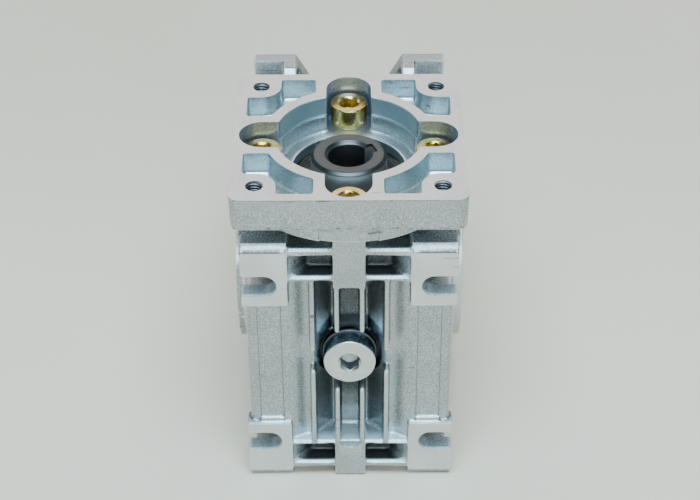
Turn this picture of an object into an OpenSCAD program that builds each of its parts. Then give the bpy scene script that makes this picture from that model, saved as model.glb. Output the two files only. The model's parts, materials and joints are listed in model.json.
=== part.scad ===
// Right-angle worm gearbox, size 30: a die-cast housing with four feet on each of two faces,
// a square motor flange, a hollow worm shaft and a hollow output shaft.
// The origin is the centre of the output shaft. +X runs along that shaft, +Z runs along the
// worm towards the motor, and the worm lies on the -Y side of the wheel. Millimetres.

/* [Gears] */
// Distance from the wheel axis to the worm axis
centre_distance = 30; // [30:0.05:30.2]
// Axial module of the worm and transverse module of the wheel
gear_module = 1.44; // [1.42:0.01:1.44]
// Teeth on the wheel; the worm has one start, so this is also the ratio
wheel_teeth = 30; // [30:1:30]
// Pressure angle in degrees
pressure_angle = 20; // [19:0.5:21]
// Material taken off each thread flank, which leaves the backlash
flank_relief = 0.1; // [0.08:0.01:0.2]
// Face width of the wheel rim
rim_width = 16; // [14:0.5:18]
// Length of the thread along the worm
thread_length = 27; // [25:0.5:30]

/* [Housing] */
// Distance from the output axis to the front mounting face
front_face = 57; // [57:0.1:58]
// Distance from the output axis to the back mounting face
back_face = 40; // [40:0.1:41]
// Distance from the output axis to each end of the feet
foot_end = 40; // [40:0.1:41]
// Half of the width of the cast body
body_half = 27; // [26.5:0.1:27.5]
// Depth from the front face to the floor between the ribs
recess_depth = 8.8; // [8.4:0.1:9]
// Thickness of the vertical ribs
rib_width = 1.35; // [1.2:0.05:1.6]

/* [Feet] */
// Half of the width across the feet
foot_half = 28; // [27.5:0.1:28.4]
// Distance from the middle to a foot's inner edge
foot_inner = 16; // [15.5:0.1:16.5]
// Thickness of a foot
foot_thick = 5.5; // [5:0.1:6]
// Width of the open slot in a foot
slot_width = 6.5; // [6:0.1:7]
// Spacing of the slots across the body
slot_pitch_x = 44; // [43:0.5:45]
// Spacing of the slots along the worm
slot_pitch_z = 54; // [53:0.5:55]

/* [Motor flange] */
// Side of the square motor flange
flange_side = 60; // [60:0.5:61]
// Distance from the output axis to the motor mounting face
flange_top = 56.2; // [56:0.1:56.5]
// Diameter of the motor pilot recess
pilot_d = 38.1; // [38:0.05:38.2]
// Depth of the motor pilot recess
pilot_depth = 5.4; // [5:0.1:5.6]
// Spacing of the tapped motor holes along each side
motor_hole_pitch = 47.14; // [47:0.02:47.2]
// Diameter of the tapped motor holes
motor_hole_d = 4.3; // [4.2:0.1:5]
// Pitch circle of the screws that hold the flange to the housing
flange_screw_pcd = 45; // [44.5:0.1:45.5]

/* [Shafts] */
// Bore of the hollow worm shaft
input_bore = 11; // [10:0.5:11]
// Width of the key slot in the worm shaft
input_key = 4; // [3:0.5:4]
// Bore of the hollow output shaft
output_bore = 14; // [12:0.5:14]
// Width of the key slot in the output shaft
output_key = 5; // [4:0.5:5]
// Width across the two ends of the output shaft
output_width = 63; // [63:0.5:64]

/* [Output faces] */
// Diameter of the machined output boss
boss_d = 75; // [75:0.5:76]
// Diameter of the raised pilot on the output boss
output_pilot_d = 55; // [54.5:0.1:55.5]
// Pitch circle of the tapped holes in the output boss
output_pcd = 65; // [64.5:0.1:65.5]
// Diameter of the tapped holes in the output boss
output_hole_d = 5.1; // [5:0.1:6]

/* [Hidden] */
$fn = 96;
eps = 0.01;

// Gears
wheel_pitch_r = gear_module * wheel_teeth / 2;
worm_pitch_r = centre_distance - wheel_pitch_r;
lead = PI * gear_module;
lead_angle = atan(lead / (2 * PI * worm_pitch_r));
worm_tip_r = worm_pitch_r + gear_module;
worm_root_r = worm_pitch_r - 1.2 * gear_module;
throat_r = worm_pitch_r - gear_module;
worm_neck_r = worm_root_r - 0.4;
wheel_root_r = wheel_pitch_r - 1.2 * gear_module;
rim_r = wheel_pitch_r + 1.25 * gear_module;
rim_bore_r = 17;
rim_base_r = wheel_pitch_r * cos(pressure_angle);
thread_steps = 18;

// Bearings: shaft diameter, outside diameter, width, ball diameter, ball count
INPUT_BEARING = [20, 37, 9, 5, 11];
REAR_BEARING = [12, 32, 10, 5.95, 7];
OUTPUT_BEARING = [25, 47, 12, 6.75, 10];
RACE_COLOUR = [0.62, 0.64, 0.66];
BALL_COLOUR = [0.8, 0.82, 0.84];
CAGE_COLOUR = [0.66, 0.6, 0.42];
ball_gap = 0.05;
seal_w = 7;
lip_gap = 0.05;

// Stations along the worm, from the motor end down
joint_z = 43.1;
boss_top_z = 47.1;
flange_floor_z = 46;
shaft_end_z = 50.25;
input_seal_z = joint_z - seal_w;
input_clip_t = 1.5;
input_bearing_top = input_seal_z - input_clip_t;
input_bearing_low = input_bearing_top - INPUT_BEARING[2];
worm_chamber_r = 15;
rear_end_z = -39.5;
rear_cap_h = 4.3;
rear_clip_t = 1.2;
rear_bearing_low = -34;
rear_bearing_top = rear_bearing_low + REAR_BEARING[2];
input_bore_depth = 28;
input_key_depth = 25;
input_key_r = 7.3;
input_key_turn = 22;
thread_collar_z = 17;
shaft_chamfer = 0.6;
shoulder_d = 23;
shoulder_w = 2.2;
rear_step_r = 8;

// Stations along the output shaft, from the middle out
hub_half = output_width / 2;
boss_face = 28.5;
ring_inner = 15.5;
cover_joint = 20;
output_bearing_in = 12.5;
output_bearing_out = output_bearing_in + OUTPUT_BEARING[2];
seal_seat_r = 20;
spigot_r = 27.5;
wheel_chamber_r = 26;
drum_r = 31;
cover_recess_gap = 0.3;
tapped_depth = 11;
output_key_r = 9.3;
o_ring_x = 17.6;
o_ring_groove_w = 2.4;
o_ring_section_r = 0.98;

// Socket head screws: diameter, head diameter, head height, socket and length
FLANGE_SCREW = [6, 9.9, 5.9, 5, 16];
COVER_SCREW = [4, 7, 4, 3, 8];
flange_hole_depth = 14;
cover_screw_pcd = 64;
cover_screw_sunk = 0.6;
cover_screw_seat = boss_face - COVER_SCREW[2] - cover_screw_sunk;
cover_hole_x = 15.4;

// Front of the housing
floor_y = -front_face + recess_depth;
band_y = -front_face + 1.8;
bearing_wall_y = -front_face + 6.5;
pocket_y = -front_face + 5.2;
pocket_half = 10.9;
cove_y = -front_face + 3.6;
cove_inner = 11.7;
cove_outer = 15.8;
channel_half = 4.9;
channel_top = 20;
foot_low = 20.7;
foot_chamfer_y = 1.3;
foot_chamfer_z = 2.4;
foot_wall_z = 34.5;
foot_wall_x = 27;
panel_inner = 18;
panel_margin = 2.7;
panel_depth = 0.45;
ledge_top = -19.5;
tube_r = 21;
tube_head_z = 25;
screw_boss_r = 4.5;
plate_half = 4.25;
plate_low = 26.2;
bars = [[36.9, 38.8], [28.7, 30], [-28, -26.9], [-36.3, -34.6]];

// Vertical ribs: distance from the middle, lower end of the upper one, upper end of the lower one
ribs = [[9.8, 5.1, -1.8], [3.3, 11.4, -8.25]];

// Feet and ribs on the back
back_bar = [25, 28.5];
back_bar_y = 22;
drum_rib_y = 18;
drum_rib_z = 27;

// Motor flange
flange_corner_r = 3;
flange_wall_r = 18.45;
flange_bore_r = 15;
screw_recess_r = 6;
flange_screw_clear_d = 6.4;
pocket_floor_z = 50.2;
pocket_wall = 8.9;
motor_boss_r = 5.4;

// Plug
plug_boss_y = -49.6;
washer_t = 1;
plug_head_h = 4.7;
plug_head_r = 7;
plug_edge = 0.5;
plug_thread_r = 4;
plug_thread_h = 7;
plug_socket = 5;
spot_face_r = 8.3;
plug_boss_r = 8.6;

module mirrored(v) {
  children();
  mirror(v) children();
}

module along_x() {
  rotate([0, 90, 0]) children();
}

module at_worm() {
  translate([0, -centre_distance, 0]) children();
}

// Four places on a circle, the first one at angle start
module four_round(r, start) {
  for (a = [start : 90 : start + 270]) rotate([0, 0, a]) translate([r, 0, 0]) children();
}

module torus(ring_r, section_r) {
  rotate_extrude() translate([ring_r, 0]) circle(section_r, $fn = 48);
}

// Box given by its lowest and highest corners
module block(low, high) {
  translate(low) cube(high - low);
}

// Right prism of an outline in the YZ plane, between two X values
module yz_prism(points, x0, x1) {
  translate([x0, 0, 0]) rotate([90, 0, 90]) linear_extrude(x1 - x0) polygon(points);
}

// Plate with rounded vertical corners, centred on X and Y
module rounded_plate(side, height, r) {
  corner = side / 2 - r;
  difference() {
    block([-side / 2, -side / 2, 0], [side / 2, side / 2, height]);
    for (a = [0 : 90 : 270]) rotate([0, 0, a]) difference() {
      block([corner, corner, -1], [corner + 2 * r, corner + 2 * r, height + 1]);
      translate([corner, corner, -2]) cylinder(r = r, h = height + 4);
    }
  }
}

// Socket head cap screw with its seat at z = 0 and its shank pointing down
module cap_screw(s) {
  head_d = s[1];
  head_h = s[2];
  edge = 0.4;
  difference() {
    union() {
      translate([0, 0, -s[4]]) cylinder(d = s[0], h = s[4]);
      cylinder(d = head_d, h = head_h - edge);
      translate([0, 0, head_h - edge]) cylinder(d1 = head_d, d2 = head_d - 2 * edge, h = edge);
    }
    translate([0, 0, head_h * 0.5]) cylinder(d = s[3] / cos(30), h = head_h, $fn = 6);
  }
}

// ---- Ball bearings, centred on the origin with their axis along Z ----

function pitch_r(b) = (b[0] + b[1]) / 4;
function ball_r(b) = b[3] / 2;

module outer_race(b) {
  difference() {
    cylinder(d = b[1], h = b[2], center = true);
    cylinder(r = pitch_r(b) + ball_r(b) / 2, h = b[2] + 1, center = true);
    torus(pitch_r(b), ball_r(b) + ball_gap);
  }
}

module inner_race(b) {
  difference() {
    cylinder(r = pitch_r(b) - ball_r(b) / 2, h = b[2], center = true);
    cylinder(d = b[0], h = b[2] + 1, center = true);
    torus(pitch_r(b), ball_r(b) + ball_gap);
  }
}

module balls(b, grow = 0) {
  for (i = [0 : b[4] - 1]) rotate([0, 0, 360 * i / b[4]])
    translate([pitch_r(b), 0, 0]) sphere(ball_r(b) + grow, $fn = 48);
}

module cage(b) {
  low = -ball_r(b) / 2;
  high = b[2] / 2 - 0.5;
  half = ball_r(b) / 2 - 0.25;
  difference() {
    translate([0, 0, low]) cylinder(r = pitch_r(b) + half, h = high - low);
    translate([0, 0, low - 1]) cylinder(r = pitch_r(b) - half, h = high - low + 2);
    balls(b, 0.1);
  }
}

// ---- Shaft seals: the oil side is at z = 0 and the outer face at z = seal_w ----

module seal(shaft_r, outer_r) {
  lip = shaft_r + lip_gap;
  difference() {
    rotate_extrude() polygon([
      [outer_r, 0], [outer_r, seal_w], [shaft_r + 2.4, seal_w], [shaft_r + 1.4, seal_w - 0.5],
      [lip, seal_w - 0.9], [lip, seal_w - 1.2], [shaft_r + 1.2, seal_w - 1.7],
      [shaft_r + 1.2, seal_w - 3.2], [lip, 2.4], [lip, 2.1], [shaft_r + 0.7, 0.8],
      [shaft_r + 2.6, 0.8], [shaft_r + 2.6, 2.6], [shaft_r + 2.3, seal_w - 2],
      [outer_r - 1.4, seal_w - 2], [outer_r - 1.4, 0]
    ]);
    translate([0, 0, 1.7]) torus(shaft_r + 2.3, 0.6);
  }
}

module seal_spring(shaft_r) {
  translate([0, 0, 1.7]) torus(shaft_r + 2.3, 0.58);
}

// Internal retaining ring with two lugs, lying on z = 0
module circlip(groove_r, thickness) {
  width = 2.4;
  gap = 34;
  lug_r = 1.9;
  difference() {
    union() {
      difference() {
        cylinder(r = groove_r, h = thickness);
        translate([0, 0, -1]) cylinder(r = groove_r - width, h = thickness + 2);
        translate([0, 0, -1]) linear_extrude(thickness + 2) polygon([
          [0, 0], [2 * groove_r * cos(gap / 2), 2 * groove_r * sin(gap / 2)],
          [2 * groove_r * cos(gap / 2), -2 * groove_r * sin(gap / 2)]
        ]);
      }
      for (s = [-1, 1]) rotate([0, 0, s * (gap / 2 + 4)])
        translate([groove_r - width - 0.6, 0, 0]) cylinder(r = lug_r, h = thickness);
    }
    for (s = [-1, 1]) rotate([0, 0, s * (gap / 2 + 4)])
      translate([groove_r - width - 0.6, 0, -1]) cylinder(r = 0.9, h = thickness + 2);
  }
}

// ---- Housing ----

// Foot plate in the first quadrant: its outer face is at y = 0 and it lies towards +Y
module foot() {
  difference() {
    block([foot_inner - eps, 0, foot_low], [foot_half, foot_thick, foot_end]);
    translate([0, 0, foot_end]) rotate([0, 90, 0])
      linear_extrude(100) polygon([[-eps, -eps], [foot_chamfer_z, -eps], [-eps, foot_chamfer_y]]);
    slot();
  }
}

module slot() {
  translate([slot_pitch_x / 2, -1, slot_pitch_z / 2]) {
    rotate([-90, 0, 0]) cylinder(d = slot_width, h = foot_thick + 2);
    translate([0, 0, -slot_width / 2]) cube([20, foot_thick + 2, slot_width]);
  }
}

// Web that carries a foot: an end wall beyond the slot, down to the worm tube
module front_foot_web() {
  y0 = -front_face + foot_thick - eps;
  block([foot_inner - eps, y0, foot_wall_z], [foot_wall_x, -centre_distance, foot_end - 0.2]);
  block([foot_inner - eps, y0, foot_low - eps], [foot_inner + 1.5, -centre_distance, foot_end - 0.6]);
  block([foot_inner - 2, y0, foot_low - eps], [foot_inner + 1, -centre_distance, bars[0][1] - 0.4]);
}

// Outline of the front between the feet, in XY, with an S-shaped cove beside the ribs
module cove_section() {
  cove_w = cove_outer - cove_inner;
  polygon(concat(
    [[0, cove_y]],
    [for (i = [0 : 10]) let (t = i / 10)
      [cove_inner + cove_w * t, cove_y + (band_y - cove_y) * t * t * (3 - 2 * t)]],
    [[foot_inner + eps, band_y], [foot_inner + eps, -centre_distance], [0, -centre_distance]]
  ));
}

// Outline of the body behind the feet
module band_section() {
  polygon([[foot_inner, band_y], [body_half - panel_margin, band_y], [body_half - 0.3, band_y + 0.5],
           [body_half, band_y + 1.4], [body_half, -20], [0, -20], [0, -centre_distance],
           [foot_inner, -centre_distance]]);
}

// Channel between the ribs, shallower over the input bearing's seat
module channel() {
  rib_x = ribs[0][0];
  intersection() {
    translate([0, 0, bars[2][1]]) linear_extrude(bars[1][0] - bars[2][1]) mirrored([1, 0, 0])
      polygon([[-eps, -70], [rib_x, -70], [rib_x, cove_y], [channel_half + 0.4, floor_y - 1.2],
               [channel_half, floor_y], [-eps, floor_y]]);
    yz_prism([[-70, -30], [-70, 30], [bearing_wall_y, 30], [bearing_wall_y, channel_top + 4.5],
              [floor_y, channel_top], [floor_y, -30]], -12, 12);
  }
}

module front_body() {
  mirrored([1, 0, 0]) {
    difference() {
      translate([0, 0, -foot_low]) linear_extrude(2 * foot_low) {
        cove_section();
        band_section();
      }
      block([panel_inner, band_y - 1, ledge_top - 0.3],
            [body_half - panel_margin, band_y + panel_depth, foot_low + 1]);
    }
    translate([0, 0, bars[2][1] - 0.5]) linear_extrude(bars[1][0] - bars[2][1] + 1) cove_section();
    block([panel_inner, band_y - 0.5, -foot_low], [body_half - panel_margin, band_y + 1, ledge_top]);
    // Floors of the pockets above and below, with their sloping ends
    for (z = [[bars[1][0] + 0.3, bars[0][1]], [rear_end_z + 0.5, bars[2][1] - 0.3]])
      translate([0, 0, z[0]]) linear_extrude(z[1] - z[0])
        polygon([[0, pocket_y], [pocket_half, pocket_y], [foot_inner + eps, pocket_y - 1.5],
                 [foot_inner + eps, -centre_distance], [0, -centre_distance]]);
    for (z = [[bars[1][0] + 0.1, bars[0][1] - 0.1], [bars[3][0] + 0.1, bars[2][1] - 0.1]])
      translate([0, 0, z[0]]) linear_extrude(z[1] - z[0])
        polygon([[pocket_half, pocket_y + eps], [pocket_half, pocket_y], [foot_inner, -front_face],
                 [foot_inner + eps, -front_face + 5], [foot_inner + eps, pocket_y + eps]]);
    for (s = [0, 1]) mirror([0, 0, s]) {
      translate([0, -front_face, 0]) foot();
      front_foot_web();
    }
  }
}

module front_ribs() {
  for (b = bars) block([-foot_inner, -front_face, b[0]], [foot_inner, floor_y + 1, b[1]]);
  block([-plate_half, -front_face, plate_low], [plate_half, floor_y + 2, joint_z]);
  block([-plate_half, -front_face, rear_end_z], [plate_half, floor_y + 2, bars[2][1]]);
  mirrored([1, 0, 0]) for (r = ribs) {
    rib(r[0], r[1], bars[1][0] + 0.3);
    rib(r[0], bars[2][1] - 0.1, r[2]);
  }
}

// Vertical rib from z0 to z1, with the end towards the plug rounded
module rib(x, z0, z1) {
  half = rib_width / 2;
  tip = z0 > 0 ? z0 + half : z1 - half;
  low = z0 > 0 ? tip : z0;
  high = z0 > 0 ? z1 : tip;
  block([x - half, -front_face, low], [x + half, floor_y + 2, high]);
  translate([x, -front_face, tip]) rotate([-90, 0, 0]) cylinder(d = rib_width, h = recess_depth + 2);
}

module worm_tube() {
  at_worm() {
    translate([0, 0, rear_end_z]) cylinder(r = tube_r - 1, h = tube_head_z + 4 - rear_end_z);
    translate([0, 0, tube_head_z]) cylinder(r = tube_r, h = joint_z - tube_head_z);
    translate([0, 0, tube_head_z + 2]) four_round(flange_screw_pcd / 2, 0)
      cylinder(r = screw_boss_r, h = joint_z - tube_head_z - 2);
  }
}

module drum() {
  along_x() cylinder(r = drum_r, h = 2 * ring_inner + 2, center = true);
  along_x() translate([0, 0, -boss_face]) cylinder(d = boss_d, h = boss_face - ring_inner);
  along_x() translate([0, 0, ring_inner]) cylinder(d = boss_d, h = cover_joint - ring_inner);
  along_x() translate([0, 0, -hub_half]) cylinder(d = output_pilot_d, h = hub_half - ring_inner);
  along_x() four_round(cover_screw_pcd / 2, 45) translate([0, 0, cover_hole_x - 2.5])
    cylinder(d = COVER_SCREW[0] + 4.2, h = 4);
}

module back_body() {
  mirrored([1, 0, 0]) for (s = [0, 1]) mirror([0, 0, s]) {
    translate([0, back_face, 0]) mirror([0, 1, 0]) foot();
    // Gusset from the output ring to the foot
    yz_prism([[10, 30], [24, 33], [31, foot_end - eps], [back_face - 1, foot_end - eps],
              [back_face - 1, foot_low], [20, 15]], foot_inner - 0.6, foot_inner + 3.4);
    // Triangle that runs down from the foot's inner corner to the cross bar
    translate([0, back_face, 0]) rotate([90, 0, 0]) linear_extrude(foot_thick)
      polygon([[foot_inner + eps, foot_end - 0.5], [12, 32.6], [12, 24], [foot_inner + eps, 24]]);
  }
  for (s = [0, 1]) mirror([0, 0, s])
    block([-foot_inner, back_bar_y, back_bar[0]], [foot_inner, back_face, back_bar[1]]);
  // Cooling ribs on the drum
  mirrored([1, 0, 0]) for (r = ribs)
    translate([r[0] - rib_width / 2, 0, 0])
      block([0, drum_rib_y, -drum_rib_z], [rib_width, back_face - 1.5, drum_rib_z]);
}

module housing() color([0.74, 0.78, 0.8]) difference() {
  union() {
    difference() {
      union() {
        front_body();
        worm_tube();
      }
      channel();
    }
    front_ribs();
    drum();
    back_body();
    translate([0, plug_boss_y, 0]) rotate([-90, 0, 0]) cylinder(r = plug_boss_r, h = 6);
  }
  at_worm() {
    translate([0, 0, input_bearing_low]) cylinder(d = INPUT_BEARING[1], h = 40);
    translate([0, 0, rear_bearing_top]) cylinder(r = worm_chamber_r, h = 60);
    translate([0, 0, rear_end_z - 5]) cylinder(d = REAR_BEARING[1], h = rear_bearing_top - rear_end_z + 5);
    translate([0, 0, input_bearing_top]) cylinder(d = INPUT_BEARING[1] + 2, h = input_clip_t);
    translate([0, 0, rear_bearing_low - rear_clip_t]) cylinder(d = REAR_BEARING[1] + 2, h = rear_clip_t);
    translate([0, 0, joint_z - flange_hole_depth]) four_round(flange_screw_pcd / 2, 0)
      cylinder(d = FLANGE_SCREW[0], h = 20);
  }
  along_x() {
    translate([0, 0, -output_bearing_in]) cylinder(r = wheel_chamber_r, h = 2 * output_bearing_in);
    translate([0, 0, output_bearing_in - 1.5]) cylinder(r = spigot_r, h = 20);
    translate([0, 0, -output_bearing_out]) cylinder(d = OUTPUT_BEARING[1], h = 20);
    translate([0, 0, -hub_half - 1]) cylinder(r = seal_seat_r, h = 20);
    translate([0, 0, cover_joint]) cylinder(d = boss_d + 2 * cover_recess_gap, h = 20);
    translate([0, 0, -boss_face - 1]) four_round(output_pcd / 2, 0)
      cylinder(d = output_hole_d, h = tapped_depth + 1);
    translate([0, 0, boss_face - tapped_depth]) four_round(output_pcd / 2, 0)
      cylinder(d = output_hole_d, h = tapped_depth);
    translate([0, 0, cover_hole_x]) four_round(cover_screw_pcd / 2, 45) cylinder(d = COVER_SCREW[0], h = 20);
  }
  // Filler hole and the spot face that its washer lies on
  translate([0, plug_boss_y - 1, 0]) rotate([-90, 0, 0]) cylinder(r = plug_thread_r, h = 10);
  translate([0, plug_boss_y, 0]) rotate([90, 0, 0]) cylinder(r = spot_face_r, h = 20);
}

// ---- Side cover ----

module side_cover() color([0.76, 0.8, 0.82]) along_x() difference() {
  union() {
    translate([0, 0, output_bearing_in]) cylinder(r = spigot_r, h = cover_joint - output_bearing_in + 1);
    translate([0, 0, cover_joint]) cylinder(d = boss_d, h = boss_face - cover_joint);
    translate([0, 0, cover_joint]) cylinder(d = output_pilot_d, h = hub_half - cover_joint);
  }
  translate([0, 0, output_bearing_in - 1]) cylinder(d = OUTPUT_BEARING[1], h = OUTPUT_BEARING[2] + 1);
  cylinder(r = seal_seat_r, h = hub_half + 1);
  translate([0, 0, o_ring_x - o_ring_groove_w / 2]) difference() {
    cylinder(r = spigot_r + 1, h = o_ring_groove_w);
    translate([0, 0, -1]) cylinder(r = spigot_r - 2, h = o_ring_groove_w + 2);
  }
  four_round(output_pcd / 2, 0) cylinder(d = output_hole_d, h = 40);
  four_round(cover_screw_pcd / 2, 45) cylinder(d = COVER_SCREW[0] + 0.5, h = 40);
  translate([0, 0, cover_screw_seat]) four_round(cover_screw_pcd / 2, 45)
    cylinder(d = COVER_SCREW[1] + 0.6, h = 20);
}

module side_cover_o_ring() color([0.08, 0.08, 0.09])
  along_x() translate([0, 0, o_ring_x]) torus(spigot_r - 1, o_ring_section_r);

module side_cover_screws() color([0.72, 0.62, 0.3])
  along_x() translate([0, 0, cover_screw_seat]) four_round(cover_screw_pcd / 2, 45) cap_screw(COVER_SCREW);

// ---- Motor flange ----

// One of the cast pockets beside a motor hole, in the first quadrant, open at the top
module corner_pocket() {
  inner = flange_screw_pcd / 2 - 0.2;
  rim = flange_side / 2 - 3;
  hole = motor_hole_pitch / 2;
  boss = hole - motor_boss_r;
  difference() {
    block([pocket_wall, pocket_wall, pocket_floor_z], [rim, rim, flange_top + 1]);
    cylinder(r = inner, h = 80);
    block([hole, boss, 0], [rim + 1, rim + 1, 80]);
    block([boss, hole, 0], [rim + 1, rim + 1, 80]);
    translate([hole, hole, 0]) cylinder(r = motor_boss_r, h = 80);
  }
}

module motor_flange() color([0.78, 0.8, 0.82]) at_worm() difference() {
  union() {
    translate([0, 0, boss_top_z]) rounded_plate(flange_side, flange_top - boss_top_z, flange_corner_r);
    translate([0, 0, joint_z]) cylinder(d = flange_side, h = boss_top_z - joint_z + eps);
  }
  translate([0, 0, flange_top - pilot_depth]) cylinder(d = pilot_d, h = 10);
  translate([0, 0, flange_floor_z]) cylinder(r = flange_wall_r, h = 20);
  cylinder(r = flange_bore_r, h = 80);
  for (a = [0 : 90 : 270]) rotate([0, 0, a]) {
    translate([flange_screw_pcd / 2, 0, flange_floor_z]) cylinder(r = screw_recess_r, h = 20);
    block([10, -screw_recess_r, flange_floor_z], [flange_screw_pcd / 2, screw_recess_r, flange_top + 1]);
    translate([flange_screw_pcd / 2, 0, 0]) cylinder(d = flange_screw_clear_d, h = 80);
    corner_pocket();
  }
  four_round(motor_hole_pitch / 2 * sqrt(2), 45) cylinder(d = motor_hole_d, h = 80);
}

module motor_flange_screws() color([0.8, 0.66, 0.3])
  at_worm() translate([0, 0, flange_floor_z]) four_round(flange_screw_pcd / 2, 0) cap_screw(FLANGE_SCREW);

// ---- Worm ----

// Threaded length of the worm: a right-hand twisted section, whose crest crosses z = 0 on
// the side that faces the wheel. Its radius runs from crest to root over the flank's turn.
module thread() {
  turns = thread_length / lead;
  half_pitch = lead / 4 - flank_relief;
  crest_a = 360 / lead * (half_pitch - gear_module * tan(pressure_angle));
  root_a = 360 / lead * (half_pitch + (worm_pitch_r - worm_root_r) * tan(pressure_angle));
  flank_step = (root_a - crest_a) / 3;
  root_step = (180 - root_a) / 2;
  angles = concat(
    [for (k = [-2 : 2]) k * crest_a / 2],
    [for (k = [1 : 3]) crest_a + k * flank_step],
    [for (k = [1 : 3]) root_a + k * root_step],
    [for (k = [3 : -1 : 1]) 360 - crest_a - k * flank_step]
  );
  from_crest = function(a) min(a, 360 - a);
  radius = function(a) a <= crest_a ? worm_tip_r : a >= root_a ? worm_root_r
    : worm_tip_r - (worm_tip_r - worm_root_r) * (a - crest_a) / (root_a - crest_a);
  start = 90 - 180 * turns;
  linear_extrude(thread_length, center = true, twist = -360 * turns, slices = ceil(turns * thread_steps),
                 segments = len(angles))
    polygon([for (a = angles) let (r = radius(abs(from_crest(a)))) [r * cos(a + start), r * sin(a + start)]]);
}

module worm_shaft() color([0.55, 0.56, 0.57]) at_worm() difference() {
  union() {
    thread();
    for (z = [thread_length / 2, -thread_collar_z])
      translate([0, 0, z]) cylinder(r = worm_neck_r, h = thread_collar_z - thread_length / 2);
    translate([0, 0, thread_collar_z])
      cylinder(d = INPUT_BEARING[0], h = shaft_end_z - thread_collar_z - shaft_chamfer);
    translate([0, 0, shaft_end_z - shaft_chamfer])
      cylinder(d1 = INPUT_BEARING[0], d2 = INPUT_BEARING[0] - 2 * shaft_chamfer, h = shaft_chamfer);
    translate([0, 0, input_bearing_low - shoulder_w]) cylinder(d = shoulder_d, h = shoulder_w);
    translate([0, 0, rear_bearing_top]) cylinder(r = rear_step_r, h = -thread_collar_z - rear_bearing_top);
    translate([0, 0, rear_bearing_low + 0.5])
      cylinder(d = REAR_BEARING[0], h = rear_bearing_top - rear_bearing_low);
  }
  translate([0, 0, shaft_end_z - input_bore_depth]) cylinder(d = input_bore, h = 60);
  translate([0, 0, shaft_end_z - 0.9]) cylinder(d1 = input_bore, d2 = input_bore + 2, h = 1);
  rotate([0, 0, input_key_turn])
    block([0, -input_key / 2, shaft_end_z - input_key_depth], [input_key_r, input_key / 2, 60]);
}

module input_seal() color([0.08, 0.08, 0.09])
  at_worm() translate([0, 0, input_seal_z]) seal(INPUT_BEARING[0] / 2, INPUT_BEARING[1] / 2);

module input_seal_spring() color([0.6, 0.6, 0.6])
  at_worm() translate([0, 0, input_seal_z]) seal_spring(INPUT_BEARING[0] / 2);

module input_circlip() color([0.3, 0.3, 0.32])
  at_worm() translate([0, 0, input_bearing_top]) circlip(INPUT_BEARING[1] / 2 + 1, input_clip_t);

module rear_circlip() color([0.3, 0.3, 0.32])
  at_worm() translate([0, 0, rear_bearing_low - rear_clip_t]) circlip(REAR_BEARING[1] / 2 + 1, rear_clip_t);

module rear_cap() color([0.1, 0.1, 0.11]) at_worm() difference() {
  translate([0, 0, rear_end_z]) cylinder(d = REAR_BEARING[1], h = rear_cap_h);
  translate([0, 0, rear_end_z - 1]) cylinder(r = 12.5, h = 2.2);
  translate([0, 0, rear_end_z + 2.6]) cylinder(r = 13.5, h = 5);
}

// Places a bearing: on the worm at height z, or on the output shaft on side s
module on_worm(z) {
  at_worm() translate([0, 0, z]) children();
}

module on_output(s) {
  mirror([s < 0 ? 1 : 0, 0, 0]) along_x()
    translate([0, 0, (output_bearing_in + output_bearing_out) / 2]) children();
}

input_bearing_z = (input_bearing_top + input_bearing_low) / 2;
rear_bearing_z = (rear_bearing_top + rear_bearing_low) / 2;

module input_bearing_outer_race() color(RACE_COLOUR) on_worm(input_bearing_z) outer_race(INPUT_BEARING);
module input_bearing_inner_race() color(RACE_COLOUR) on_worm(input_bearing_z) inner_race(INPUT_BEARING);
module input_bearing_balls() color(BALL_COLOUR) on_worm(input_bearing_z) balls(INPUT_BEARING);
module input_bearing_cage() color(CAGE_COLOUR) on_worm(input_bearing_z) cage(INPUT_BEARING);

module rear_bearing_outer_race() color(RACE_COLOUR) on_worm(rear_bearing_z) outer_race(REAR_BEARING);
module rear_bearing_inner_race() color(RACE_COLOUR) on_worm(rear_bearing_z) inner_race(REAR_BEARING);
module rear_bearing_balls() color(BALL_COLOUR) on_worm(rear_bearing_z) balls(REAR_BEARING);
module rear_bearing_cage() color(CAGE_COLOUR) on_worm(rear_bearing_z) cage(REAR_BEARING);

// ---- Wheel ----

// Half width of the gap between two teeth at radius r
function involute(a) = tan(a) * 180 / PI - a;
function gap_half(r) =
  let (flank = r > rim_base_r ? involute(acos(rim_base_r / r)) : 0)
  r * sin(90 / wheel_teeth - involute(pressure_angle) + flank) + 0.03;

module wheel_rim() color([0.72, 0.52, 0.25]) difference() {
  along_x() cylinder(r = rim_r, h = rim_width, center = true);
  along_x() cylinder(r = rim_bore_r, h = rim_width + 2, center = true);
  along_x() torus(centre_distance, throat_r);
  radii = [wheel_root_r, rim_base_r, 20.9, wheel_pitch_r, 22.4, rim_r + 0.3];
  gap = concat([for (r = radii) [gap_half(r), r]],
               [for (i = [len(radii) - 1 : -1 : 0]) [-gap_half(radii[i]), radii[i]]]);
  for (i = [0 : wheel_teeth - 1]) rotate([360 * i / wheel_teeth, 0, 0])
    rotate([0, lead_angle, 0]) rotate([180, -90, 0])
      linear_extrude(rim_width + 8, center = true) polygon(gap);
}

module wheel_hub() color([0.5, 0.51, 0.53]) along_x() difference() {
  union() {
    cylinder(d = OUTPUT_BEARING[0], h = output_width, center = true);
    cylinder(d = OUTPUT_BEARING[0] + 5, h = 2 * output_bearing_in, center = true);
    cylinder(r = rim_bore_r, h = rim_width, center = true);
  }
  cylinder(d = output_bore, h = output_width + 2, center = true);
  block([-output_key_r, -output_key / 2, -hub_half - 1], [0, output_key / 2, hub_half + 1]);
}

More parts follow.
